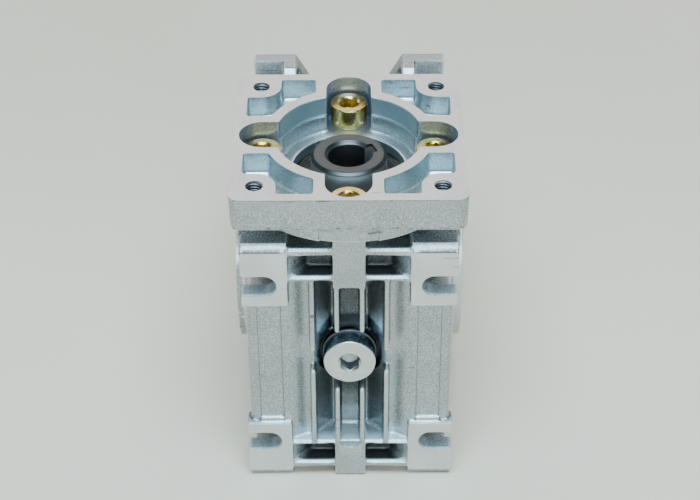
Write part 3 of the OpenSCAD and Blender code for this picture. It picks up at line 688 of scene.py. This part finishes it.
def plain_metal(name, stain, colours, roughnesses, relief, strength, depth):
    """Evenly stained metal. stain and relief are the scale and detail of a noise; without a relief
    of its own the stain is raised."""
    material, tree, shader, at = surface(name, 1.0)
    factor = noise(tree, at, *stain)
    colour = ramp(tree, factor, (0.3, colours[0]), (0.7, colours[1]))
    roughness = ramp(tree, factor, (0.3, roughnesses[0]), (0.7, roughnesses[1]))
    raised = noise(tree, at, *relief) if relief else factor
    drive(tree, shader, colour, roughness, bump(tree, raised, strength, depth * MM))
    return material


def yellow_zinc():
    material, tree, shader, at = surface("yellow_zinc", 1.0)
    film = noise(tree, at, 420, 3, 0.6)
    fine = noise(tree, at, 3600, 2)
    colour = ramp(tree, film, (0.28, (0.34, 0.35, 0.10)), (0.45, (0.55, 0.39, 0.10)),
                  (0.6, (0.60, 0.47, 0.23)), (0.72, (0.55, 0.30, 0.12)))
    roughness = ramp(tree, fine, (0.3, 0.2), (0.7, 0.32))
    drive(tree, shader, colour, roughness, bump(tree, fine, 0.12, 0.02 * MM))
    return material


def bright_zinc():
    material, tree, shader, at = surface("bright_zinc", 1.0)
    rings = turned(tree, at, "plug")
    marks = noise(tree, rings, 4200, 2)
    haze = noise(tree, at, 300, 3)
    colour = ramp(tree, haze, (0.3, (0.55, 0.585, 0.59)), (0.7, (0.64, 0.67, 0.66)))
    radius, height, _ = add(tree, "SeparateXYZ", Vector=rings).outputs
    # The head's side painted bluish: painted reflection
    side = product(tree, zone(tree, radius, -0.12, -0.05, plug_high.x),
                   zone(tree, height, 0.25, 0.45, plug_low.y))
    colour = blend(tree, side, colour, (0.58, 0.80, 0.90))
    roughness = ramp(tree, haze, (0.3, 0.2), (0.7, 0.32))
    drive(tree, shader, colour, roughness, bump(tree, marks, 0.15, 0.02 * MM))
    return material


def black_rubber(axis):
    material, tree, shader, at = surface("black_rubber_" + axis, 0.0)
    mould = noise(tree, turned(tree, at, axis), 1500, 2)
    dust = noise(tree, at, 240, 4, 0.65)
    colour = ramp(tree, dust, (0.4, (0.018, 0.015, 0.013)), (0.75, (0.075, 0.062, 0.05)))
    roughness = ramp(tree, dust, (0.3, 0.24), (0.7, 0.5))
    normal = bump(tree, mould, 0.35, 0.06 * MM)
    normal = bump(tree, noise(tree, at, 4200, 2), 0.15, 0.03 * MM, normal)
    drive(tree, shader, colour, roughness, normal)
    return material


CAST = cast_aluminium()
MILLED = machined_aluminium("machined_aluminium", (0.60, 0.615, 0.61), (0.68, 0.69, 0.68))
# Bluish copy of the machined aluminium for the flange's turned pilot: painted overhead light
TURNED = machined_aluminium("turned_pilot", (0.39, 0.52, 0.59), (0.45, 0.59, 0.66))
# Dark copy of the machined aluminium for tapped holes and the plug's socket: painted shade inside the holes
HOLE_SHADE = machined_aluminium("painted_shade_recess", (0.13, 0.145, 0.155), (0.22, 0.24, 0.25))
STEEL_WORM = turned_steel("worm")
STEEL_WHEEL = turned_steel("wheel")
RACE = plain_metal("bearing_steel", (500, 3), ((0.56, 0.57, 0.58), (0.68, 0.69, 0.70)), (0.12, 0.24),
                   (6000, 2), 0.08, 0.01)
SPRING = plain_metal("spring_steel", (900, 3), ((0.11, 0.11, 0.115), (0.22, 0.22, 0.23)), (0.35, 0.55),
                     None, 0.15, 0.02)
YELLOW = yellow_zinc()
BRIGHT = bright_zinc()
BRONZE = plain_metal("bronze", (260, 4), ((0.52, 0.33, 0.14), (0.72, 0.50, 0.24)), (0.25, 0.4),
                     (3200, 2), 0.2, 0.03)
# The sealing ring is painted dark grey: painted shade from the plug's seat
COPPER = plain_metal("copper", (420, 3), ((0.11, 0.115, 0.12), (0.19, 0.19, 0.195)), (0.35, 0.5),
                     (2600, 2), 0.2, 0.03)
RUBBER_WORM = black_rubber("worm")
RUBBER_WHEEL = black_rubber("wheel")

# ---- Tools that several castings share ----

ALONG_MINUS_X = Matrix.Rotation(math.pi, 4, "Z") @ ALONG_X
OUTWARDS = Matrix.Rotation(math.pi / 2, 4, "X")
FLANGE_SCREWS = [AT_WORM @ p for p in round_places(SCREW_CIRCLE_R)]
OUTPUT_BOLTS = round_places(BOLT_CIRCLE_R)
COVER_SCREWS = round_places(COVER_SCREW_CIRCLE_R, 1 / 8)


def up_by(height):
    return Matrix.Translation((0, 0, height))


def rods(radius, low, high, places, segments=24):
    return [rod(radius, low, high, place, segments) for place in places]


def lathe_cut(body, outline, place, material, segments=128):
    combine(body, lathe(outline, place, segments), material)


def cut_threads(body, major_r, pitch, low, high, places):
    threads = [screw_thread(major_r, pitch, low, high, place, inside=True) for place in places]
    combine(body, joined(*threads), HOLE_SHADE)


def cut_output_bolts(body, along):
    """Tapped holes of an output face, with their countersunk mouths."""
    major_r, pitch, mouth_r = 3 * MM, 1 * MM, 3.1 * MM
    places = [along @ p for p in OUTPUT_BOLTS]
    cut_threads(body, major_r, pitch, BOSS_FACE - 11 * MM, BOSS_FACE, places)
    depth = 0.8 * (mouth_r - major_r + 0.6 * pitch)
    mouth = [(0, BOSS_FACE - depth), (major_r - 0.6 * pitch, BOSS_FACE - depth),
             (mouth_r, BOSS_FACE + 0.02 * MM), (mouth_r, BOSS_FACE + 1 * MM), (0, BOSS_FACE + 1 * MM)]
    combine(body, joined(*[lathe(mouth, place, 64) for place in places]), MILLED)


# ---- Housing ----


def housing_fills(top, over, rear_r, rear_end):
    """Solids that close the housing's bores, and small shapes that the CAD leaves out."""
    fills = [
        rod(19.2 * MM, -38 * MM, top, AT_WORM),
        rod(rear_r + 0.7 * MM, -rear_end + 0.3 * MM, 0, AT_WORM),
        rod(28 * MM, -14 * MM, COVER_JOINT + 1 * MM, ALONG_X),
        rod(24 * MM, -28 * MM, -12 * MM, ALONG_X),
        rod(20.5 * MM, -over, -20 * MM, ALONG_X),
        rod(5 * MM, 44 * MM, 50 * MM, OUTWARDS),
    ]
    fills += rods(3.4 * MM, 28 * MM, top, FLANGE_SCREWS)
    bolts, cover_screws = ([ALONG_X @ p for p in places] for places in (OUTPUT_BOLTS, COVER_SCREWS))
    fills += rods(3 * MM, -BOSS_FACE - STOCK, -16 * MM, bolts)
    fills += rods(3 * MM, 16 * MM, COVER_JOINT + 0.5 * MM, bolts)
    fills += rods(2.4 * MM, 15 * MM, COVER_JOINT + 0.5 * MM, cover_screws)
    # The upper feet's webs run on almost to the feet's outer edges
    fills += [box((side * 27.7 * MM - 1 * MM, FRONT_Y + 6 * MM, 34.9 * MM),
                  (side * 27.7 * MM + 1 * MM, FRONT_Y + 24 * MM, FOOT_END - 0.2 * MM)) for side in (-1, 1)]
    # Fillets where the pockets' sloping ends meet their lower faces
    for z in (30 * MM, -34.6 * MM):
        for side in (-1, 1):
            ends = [Vector((side * 16 * MM, FRONT_Y, z)), Vector((side * 10.7 * MM, FRONT_Y + 5.3 * MM, z))]
            out = Vector((-side, -1, 0)).normalized() * 0.8 * MM
            points = [end + step for end in ends
                      for step in (Vector((0, 0, -0.3 * MM)), out, Vector((0, 0, 0.8 * MM)))]
            fills.append((points, [(0, 1, 2), (3, 5, 4), (0, 3, 4, 1), (1, 4, 5, 2), (2, 5, 3, 0)]))
    return fills


def front_details(body):
    """Small shapes on the housing's front that the CAD leaves out."""
    # Shallow round step in the plate under the third bar
    arc = [math.radians(-163 + 146 * i / 16) for i in range(17)]
    step = [(3.4 * MM * math.cos(a), 3.4 * MM * math.sin(a)) for a in arc]
    combine(body, prism(step, -FRONT_Y - 0.6 * MM, 60 * MM, up_by(-26.2 * MM) @ OUTWARDS), CAST)
    # Rounded edges on top of the bars, between the ribs and the plate
    gaps = ((-15.6, -10.7), (-8.9, -4.2), (-2.4, 2.4), (4.2, 8.9), (10.7, 15.6))
    sides = ((-15.4, -5.4), (5.4, 15.4))
    chamfers = [(low, high, z, 0.6) for z in (38.8, 30, -34.6) for low, high in sides]
    chamfers += [(low, high, -26.9, 0.7) for low, high in gaps]
    to_x = Matrix(((0, 0, 1, 0), (1, 0, 0, 0), (0, 1, 0, 0), (0, 0, 0, 1)))
    wedges = []
    for low, high, z, size in chamfers:
        front, back = FRONT_Y - 0.3 * MM, FRONT_Y + size * MM
        section = [(FRONT_Y - 0.02 * MM, (z - size) * MM), (back, (z + 0.02) * MM), (back, (z + 0.3) * MM),
                   (front, (z + 0.3) * MM), (front, (z - size) * MM)]
        wedges.append(prism(section, low * MM, high * MM, to_x))
    combine(body, joined(*wedges), CAST)
    # Lines that the die's inserts leave beside the sunk panels
    seam, band = 0.2 * MM, FRONT_Y + 1.8 * MM
    for x in (-24.2 * MM, -18 * MM, 18 * MM, 24.2 * MM):
        line = box((x - seam / 2, band - 1 * MM, -19.4 * MM), (x + seam / 2, band + 0.8 * MM, 20.6 * MM))
        combine(body, line, CAST)


def housing():
    bearing_r, rear_r, groove_r, rear_groove_r = 18.5 * MM, 16 * MM, 19.5 * MM, 17 * MM
    rear_end = 39.5 * MM
    top = JOINT_Z + STOCK
    over = HUB_HALF + STOCK
    planes = [(1, FRONT_Y, -1), (1, BACK_Y, 1), (2, JOINT_Z, 1), (0, -BOSS_FACE, -1), (0, -HUB_HALF, -1)]
    fills = housing_fills(top, over, rear_r, rear_end)
    body = casting("housing_casting", "housing", planes, fills, CAST, 0.3 * MM)
    # Milled faces
    reach, deep = 60 * MM, 9 * MM
    for low, high, material in ((-reach, -FOOT_X, MILLED), (-FOOT_X, FOOT_X, CAST), (FOOT_X, reach, MILLED)):
        combine(body, box((low, FRONT_Y - deep, -reach), (high, FRONT_Y, reach)), material)
    combine(body, box((-reach, BACK_Y, -reach), (reach, BACK_Y + deep, reach)), MILLED)
    combine(body, box((-reach, FRONT_Y - deep, JOINT_Z), (reach, BACK_Y, JOINT_Z + deep)), MILLED)
    # Left boss and its pilot, faced and turned
    far = over + 1 * MM
    boss = [(0, HUB_HALF), (PILOT_R, HUB_HALF), (PILOT_R, BOSS_FACE), (BOSS_R + 1.5 * MM, BOSS_FACE),
            (BOSS_R + 1.5 * MM, far), (0, far)]
    lathe_cut(body, boss, ALONG_MINUS_X, MILLED)
    worm_bores = [
        (0, -rear_end - 3 * MM), (rear_r + 0.5 * MM, -rear_end - 3 * MM), (rear_r + 0.5 * MM, -rear_end),
        (rear_r, -rear_end + 0.5 * MM), (rear_r, -35.2 * MM), (rear_groove_r, -35.2 * MM),
        (rear_groove_r, -34 * MM), (rear_r, -34 * MM), (rear_r, -24 * MM), *mm((15, -24), (15, 25.6)),
        (bearing_r, 25.6 * MM), (bearing_r, 34.6 * MM), (groove_r, 34.6 * MM),
        (groove_r, 36.1 * MM), (bearing_r, 36.1 * MM), (bearing_r, JOINT_Z - 0.5 * MM),
        (bearing_r + 0.5 * MM, JOINT_Z), (bearing_r + 0.5 * MM, top), (0, top),
    ]
    lathe_cut(body, worm_bores, AT_WORM, MILLED)
    output_bores = [
        (0, -over), (20.5 * MM, -over), (20.5 * MM, -HUB_HALF), (20 * MM, -HUB_HALF + 0.5 * MM),
        *mm((20, -24.5), (23.5, -24.5), (23.5, -12.5), (26, -12.5), (26, 11), (27.5, 11)),
        (27.5 * MM, COVER_JOINT - CLEAR),
        (37.8 * MM + CLEAR, COVER_JOINT - CLEAR), (37.8 * MM + CLEAR, over), (0, over),
    ]
    lathe_cut(body, output_bores, ALONG_X, MILLED)
    # Screw holes, tapped holes and the filler hole
    combine(body, joined(*rods(3 * MM, 29.1 * MM, top, FLANGE_SCREWS, 32)), MILLED)
    inner = rods(2.55 * MM, 17.5 * MM, COVER_JOINT, [ALONG_X @ p for p in OUTPUT_BOLTS], 32)
    inner += rods(2 * MM, 15.4 * MM, COVER_JOINT, [ALONG_X @ p for p in COVER_SCREWS], 32)
    combine(body, joined(*inner), MILLED)
    cut_output_bolts(body, ALONG_MINUS_X)
    combine(body, rod(8.3 * MM, -washer_high.y - CLEAR, 60 * MM, OUTWARDS), CAST)
    combine(body, rod(4 * MM, 40 * MM, 52 * MM, OUTWARDS, 64), MILLED)
    front_details(body)
    return finish_piece(body, "housing", "cast_aluminium", "housing")


housing()


# ---- Motor flange ----


def motor_flange():
    top = flange_high.z
    centre_y = WORM_AXIS.y
    half = flange_high.x
    corner = Matrix.Rotation(TURN / 8, 4, "Z")
    holes = [AT_WORM @ corner @ Matrix.Rotation(TURN * k / 4, 4, "Z")
             @ Matrix.Translation((MOTOR_HOLE_AT * math.sqrt(2), 0, 0)) for k in range(4)]
    planes = [(2, top, 1), (2, flange_low.z, -1), (2, FLANGE_EDGE, -1)]
    fills = rods(2.7 * MM, 47.6 * MM, top + STOCK, holes)
    fills += [rod(15.6 * MM, flange_low.z - STOCK, FLANGE_FLOOR - 0.5 * MM, AT_WORM)]

    def lower_edge(at):
        outer = np.maximum(np.abs(at[:, 0]), np.abs(at[:, 1] - centre_y)) > half - 4 * MM
        return (outer & (at[:, 2] > 46.2 * MM) & (at[:, 2] < 49.6 * MM)).astype(float)

    extra = 0.4 * MM, lower_edge
    body = casting("motor_flange_casting", "motor_flange", planes, fills, CAST, 0.36 * MM, extra)
    # Draft on the four sides
    for v in body.data.vertices:
        drop = (top - v.co.z) * 0.03
        if abs(v.co.x) > half - 1 * MM:
            v.co.x -= math.copysign(drop, v.co.x)
        if abs(v.co.y - centre_y) > half - 1 * MM:
            v.co.y -= math.copysign(drop, v.co.y - centre_y)
    reach, deep = 60 * MM, 9 * MM
    combine(body, box((-reach, -90 * MM, top), (reach, reach, top + deep)), MILLED)
    combine(body, box((-reach, -90 * MM, flange_low.z - deep), (reach, reach, flange_low.z)), MILLED)
    floor_z = top - MOTOR_PILOT_DEPTH
    pilot_r, mouth_r = MOTOR_PILOT_R + CLEAR, MOTOR_PILOT_R + 0.27 * MM
    pilot = [*mm((0, 40), (15, 40)), (15 * MM, floor_z), (pilot_r, floor_z), (pilot_r, top - 0.2 * MM),
             (mouth_r, top + 0.02 * MM), (mouth_r, top + 2 * MM), (0, top + 2 * MM)]
    lathe_cut(body, pilot, AT_WORM, TURNED, 160)
    cut_threads(body, 2.5 * MM, 0.8 * MM, flange_low.z - 1 * MM, top - 0.15 * MM, holes)
    combine(body, joined(*rods(2.25 * MM, top - 0.5 * MM, top + 1 * MM, holes, 64)), MILLED)
    return finish_piece(body, "housing", "cast_aluminium", "motor_flange")


motor_flange()


# ---- Side cover ----


def side_cover():
    outline = [(23.5 * MM, cover_low.x), (27.5 * MM, cover_low.x),
               *mm((27.5, 16.4), (25.5, 16.4), (25.5, 18.8), (27.5, 18.8)), (27.5 * MM, COVER_JOINT),
               (BOSS_R, COVER_JOINT), (BOSS_R, BOSS_FACE), (PILOT_R, BOSS_FACE), (PILOT_R, HUB_HALF),
               (20 * MM, HUB_HALF), *mm((20, 24.5), (23.5, 24.5))]
    body = solid_object("side_cover_casting", lathe(rounded(outline, 0.35 * MM), ALONG_X, 160), CAST)
    body.data.materials.append(MILLED)
    for face in body.data.polygons:
        flat_on_face = abs(face.normal.x) > 0.7 and face.center.x > COVER_JOINT + 1 * MM
        radius = math.hypot(face.center.y, face.center.z)
        face.material_index = 1 if flat_on_face or radius < PILOT_R + 0.1 * MM else 0
    cut_output_bolts(body, ALONG_X)
    head_r = 3.8 * MM
    recess = [*mm((0, 10), (2.25, 10)), (2.25 * MM, COVER_SCREW_SEAT), (head_r, COVER_SCREW_SEAT),
              (head_r, BOSS_FACE - 0.3 * MM), (head_r + 0.35 * MM, BOSS_FACE + 0.05 * MM),
              (head_r + 0.35 * MM, 40 * MM), (0, 40 * MM)]
    combine(body, joined(*[lathe(recess, ALONG_X @ p, 48) for p in COVER_SCREWS]), MILLED)
    return finish_piece(body, "housing", "cast_aluminium", "side_cover")


side_cover()


# ---- Screws and plug ----


def cap_screw(name, place, d, pitch, head_d, head_h, socket, length, turn):
    """Socket head cap screw with its seat at z = 0 and its shank pointing down."""
    r, head_r = d / 2, head_d / 2
    plain = length * 0.25
    outline = [(0, -plain), (r, -plain), (r, 0), (head_r, 0), (head_r, head_h), (0, head_h)]
    body = solid_object(name, lathe(rounded(outline, 0.4 * MM, 5), place, 96), YELLOW)
    combine(body, screw_thread(r, pitch, -length, -plain + 0.3 * MM, place), YELLOW, "UNION")
    combine(body, prism(hexagon(socket, turn), head_h * 0.48, head_h + 1 * MM, place), YELLOW)
    corner = socket / 2 / math.cos(math.pi / 6)
    drill_point = [(0, head_h * 0.3), (corner * 0.82, head_h * 0.5), (0, head_h * 0.5 + 0.02 * MM)]
    lathe_cut(body, drill_point, place, YELLOW, 48)
    mouth = [(0, head_h - 0.6 * MM), (corner - 0.45 * MM, head_h - 0.6 * MM),
             (corner + 0.2 * MM, head_h + 0.05 * MM), (0, head_h + 0.05 * MM)]
    lathe_cut(body, mouth, place, YELLOW, 48)
    return body


for i, spot in enumerate(round_places(SCREW_CIRCLE_R)):
    screw = cap_screw("flange_screw_%d" % (i + 1), AT_WORM @ up_by(FLANGE_FLOOR) @ spot,
                      6 * MM, 1 * MM, 9.9 * MM, 5.9 * MM, 5 * MM, 16 * MM, 0.35 + 0.9 * i)
    finish_piece(screw, "housing", "yellow_zinc", "motor_flange_screws")

for i, spot in enumerate(COVER_SCREWS):
    screw = cap_screw("cover_screw_%d" % (i + 1), ALONG_X @ up_by(COVER_SCREW_SEAT) @ spot,
                      4 * MM, 0.7 * MM, 7 * MM, 4 * MM, 3 * MM, 8 * MM, 0.2 + 0.7 * i)
    finish_piece(screw, "housing", "yellow_zinc", "side_cover_screws")


def oil_plug():
    seat, face = -washer_low.y, -plug_low.y
    head_r = plug_high.x
    low = -plug_high.y
    outline = [(0, low), (3.3 * MM, low), (3.3 * MM, seat - 1 * MM), (4 * MM, seat - 1 * MM),
               (4 * MM, seat), (head_r, seat), (head_r, face), (0, face)]
    body = solid_object("oil_plug_turned", lathe(rounded(outline, 0.4 * MM, 6), OUTWARDS), BRIGHT)
    combine(body, screw_thread(4 * MM, 1 * MM, low + 0.2 * MM, seat - 1.2 * MM, OUTWARDS), BRIGHT, "UNION")
    combine(body, prism(hexagon(5 * MM, TURN / 12), seat + 1.7 * MM, face + 1 * MM, OUTWARDS), HOLE_SHADE)
    drill_point = [(0, seat + 0.6 * MM), (2.3 * MM, seat + 1.72 * MM), (0, seat + 1.75 * MM)]
    lathe_cut(body, drill_point, OUTWARDS, BRIGHT, 64)
    mouth = [(0, face - 0.5 * MM), (2.6 * MM, face - 0.5 * MM), (3.15 * MM, face + 0.05 * MM),
             (0, face + 0.05 * MM)]
    lathe_cut(body, mouth, OUTWARDS, BRIGHT, 96)
    finish_piece(body, "housing", "bright_zinc", "oil_plug")
    r, back = washer_high.x, -washer_high.y
    outline = rounded([(4.1 * MM, back), (r, back), (r, seat), (4.1 * MM, seat)], 0.35 * MM)
    ring = solid_object("oil_plug_sealing_ring", lathe(outline, OUTWARDS, 96), COPPER)
    finish_piece(ring, "housing", "copper", "oil_plug_washer")


oil_plug()

# ---- Worm shaft ----

WORM_MODULE = 1.44 * MM
LEAD = math.pi * WORM_MODULE
PITCH_R = 8.4 * MM
TIP_R = PITCH_R + WORM_MODULE
ROOT_R = PITCH_R - 1.2 * WORM_MODULE
FLANK_RELIEF = 0.1 * MM
PRESSURE = math.tan(math.radians(20))
THREAD_HALF = 13.5 * MM


def worm_radius(d):
    """Radius of the worm at a distance along the axis from the middle of a crest."""
    crest = LEAD / 4 - FLANK_RELIEF - WORM_MODULE * PRESSURE
    flank = (d - crest) / PRESSURE
    return min(TIP_R, max(ROOT_R, TIP_R - max(0.0, flank)))


def worm_shaft():
    low, end = shaft_low.z, shaft_high.z
    neck = ROOT_R - 0.4 * MM
    thread = helix(worm_radius, LEAD, -THREAD_HALF, THREAD_HALF, AT_WORM, 144, 40)
    body = solid_object("worm_shaft_turned", thread, STEEL_WORM)
    bore_end = end - 28 * MM
    upper = [(0, THREAD_HALF - 0.5 * MM), (neck, THREAD_HALF - 0.5 * MM), (neck, 17 * MM),
             *mm((10, 17), (10, 23.4), (11.5, 23.4), (11.5, 25.6), (10, 25.6)),
             (10 * MM, end - 0.7 * MM), (9.2 * MM, end),
             (INPUT_BORE_R + 0.9 * MM, end), (INPUT_BORE_R, end - 0.9 * MM),
             (INPUT_BORE_R, bore_end), (0, bore_end - 0.6 * MM)]
    lower = [(0, low), (5.5 * MM, low), (6 * MM, low + 0.5 * MM), *mm((6, -24), (8, -24), (8, -17)),
             (neck, -17 * MM), (neck, 0.5 * MM - THREAD_HALF), (0, 0.5 * MM - THREAD_HALF)]
    combine(body, lathe(rounded(upper, 0.4 * MM), AT_WORM), STEEL_WORM, "UNION")
    combine(body, lathe(rounded(lower, 0.25 * MM), AT_WORM), STEEL_WORM, "UNION")
    key_place = AT_WORM @ Matrix.Rotation(math.radians(22), 4, "Z")
    keyway = mm((0, -2), (7.4, -2), (7.4, 2), (0, 2))
    combine(body, prism(rounded(keyway, 0.6 * MM), end - 25 * MM, end + 1 * MM, key_place), STEEL_WORM)
    return finish_piece(body, "worm", "turned_steel", "worm_shaft")


worm_shaft()


# ---- Output hub ----


def wheel_hub():
    half = [(OUTPUT_BORE_R, HUB_HALF), (12.5 * MM, HUB_HALF), *mm((12.5, 12.5), (15, 12.5), (15, 8), (17, 8))]
    outline = rounded([(r, -h) for r, h in half] + half[::-1], 0.5 * MM)
    body = solid_object("wheel_hub_turned", lathe(outline, ALONG_X), STEEL_WHEEL)
    keyway = mm((-9.3, -2.5), (0, -2.5), (0, 2.5), (-9.3, 2.5))
    end = HUB_HALF + 1 * MM
    combine(body, prism(rounded(keyway, 0.3 * MM), -end, end, ALONG_X), STEEL_WHEEL)
    return finish_piece(body, "wheel", "turned_steel", "wheel_hub")


wheel_hub()


# ---- Seals ----


def seal(node, place, shaft_r, outer_r, material):
    """Shaft seal with a sprung lip on the oil side at z = 0, a dust lip, and beads on its outer face."""
    lip = shaft_r + CLEAR
    w = SEAL_WIDTH
    beads = [(shaft_r + at + d * MM, w - h * MM) for at in (4.1 * MM, 3.1 * MM, 2.1 * MM)
             for d, h in ((0.32, 0.4), (0.15, 0.02), (-0.15, 0.02), (-0.32, 0.4))]
    outline = [
        (outer_r, 0.3 * MM), (outer_r, w - 0.3 * MM), (outer_r - 0.3 * MM, w), (outer_r - 1.6 * MM, w),
        (outer_r - 1.9 * MM, w - 0.35 * MM), *beads, (shaft_r + 1.2 * MM, w - 0.5 * MM), (lip, w - 0.9 * MM),
        (lip, w - 1.2 * MM), (shaft_r + 1.2 * MM, w - 1.7 * MM), (shaft_r + 1.2 * MM, w - 3.2 * MM),
        (lip, 2.4 * MM), (lip, 2.1 * MM), (shaft_r + 0.7 * MM, 0.8 * MM), (shaft_r + 1.5 * MM, 0.8 * MM),
        (shaft_r + 1.75 * MM, 1.3 * MM), (shaft_r + 1.75 * MM, 2.2 * MM), (shaft_r + 2.3 * MM, w - 2 * MM),
        (outer_r - 1.4 * MM, w - 2 * MM), (outer_r - 1.4 * MM, 0.3 * MM),
    ]
    body = solid_object(node + "_moulded", lathe(rounded(outline, 0.15 * MM, 3), place), material)
    return finish_piece(body, "housing", "black_rubber", node, sharp=50)


seal("input_seal", AT_WORM @ up_by(JOINT_Z - SEAL_WIDTH), 10 * MM, 18.5 * MM, RUBBER_WORM)
for node_name, along in (("right_seal", ALONG_X), ("left_seal", ALONG_MINUS_X)):
    seal(node_name, along @ up_by(HUB_HALF - SEAL_WIDTH), 12.5 * MM, 20 * MM, RUBBER_WHEEL)

# ---- CAD nodes that stay ----

KEPT = {
    "outer_race": RACE, "inner_race": RACE, "balls": RACE, "cage": BRONZE, "wheel_rim": BRONZE,
    "spring": SPRING, "circlip": SPRING, "o_ring": RUBBER_WHEEL, "rear_cap": RUBBER_WORM,
}
for node_name, node in frame["nodes"].items():
    for ending, material in KEPT.items():
        if node_name.endswith(ending):
            node.data.materials.clear()
            node.data.materials.append(material)

# ---- Floor, lights and camera ----


def floor():
    reach = 3.0
    corners = ((-reach, -reach), (reach, -reach), (reach, reach), (-reach, reach))
    points = [Vector((x, y, cad_box[0].z)) for x, y in corners]
    ground = solid_object("floor", (points, [(0, 1, 2, 3)]))
    material, tree, shader, at = surface("floor", 0.0)
    tone = noise(tree, at, 9, 3)
    colour = ramp(tree, tone, (0.3, (0.79, 0.705, 0.575)), (0.7, (0.83, 0.745, 0.615)))
    roughness = ramp(tree, tone, (0.3, 0.55), (0.7, 0.65))
    drive(tree, shader, colour, roughness, bump(tree, noise(tree, at, 700, 2), 0.1, 0.1 * MM))
    ground.data.materials.append(material)


def area_light(name, position, aim, size, power, colour):
    data = bpy.data.lights.new(name, "AREA")
    data.shape = "RECTANGLE"
    data.size, data.size_y = size
    data.energy = power
    data.color = colour
    lamp = bpy.data.objects.new(name, data)
    lamp.location = position
    lamp.rotation_euler = (Vector(aim) - Vector(position)).to_track_quat("-Z", "Y").to_euler()
    bpy.context.scene.collection.objects.link(lamp)


def world(colour, strength):
    made = bpy.data.worlds.new("studio")
    made.use_nodes = True
    background = made.node_tree.nodes["Background"]
    background.inputs["Color"].default_value = (*colour, 1)
    background.inputs["Strength"].default_value = strength
    bpy.context.scene.world = made


def camera():
    azimuth, elevation, roll = (math.radians(a) for a in (0.19, 36.72, -0.34))
    target = Vector((0.26, -57.0, 38.77)) * MM
    level = Vector((math.cos(azimuth), math.sin(azimuth), 0))
    back = Vector((math.sin(azimuth) * math.cos(elevation), -math.cos(azimuth) * math.cos(elevation),
                   math.sin(elevation)))
    upright = back.cross(level)
    right = level * math.cos(roll) + upright * math.sin(roll)
    up = upright * math.cos(roll) - level * math.sin(roll)
    data = bpy.data.cameras.new("camera")
    data.lens, data.sensor_width = 90.29, 36
    data.clip_start, data.clip_end = 0.01, 20
    eye = bpy.data.objects.new("camera", data)
    turn = Matrix((right, up, back)).transposed().to_4x4()
    eye.matrix_world = Matrix.Translation(target + back * 444.7 * MM) @ turn
    bpy.context.scene.collection.objects.link(eye)
    bpy.context.scene.camera = eye


floor()
area_light("overhead", (0.0, -0.33, 0.80), (0, -0.05, 0), (0.6, 0.36), 12.5, (0.64, 0.87, 1.0))
area_light("backdrop", (0.0, 0.95, 0.78), (0, -0.03, 0.05), (1.9, 0.8), 10.0, (1.0, 0.97, 0.93))
area_light("window", (0.1, -1.1, 0.42), (0, -0.05, 0.03), (1.5, 0.3), 12.0, (0.74, 0.91, 1.0))
world((0.95, 0.95, 0.92), 0.12)
camera()
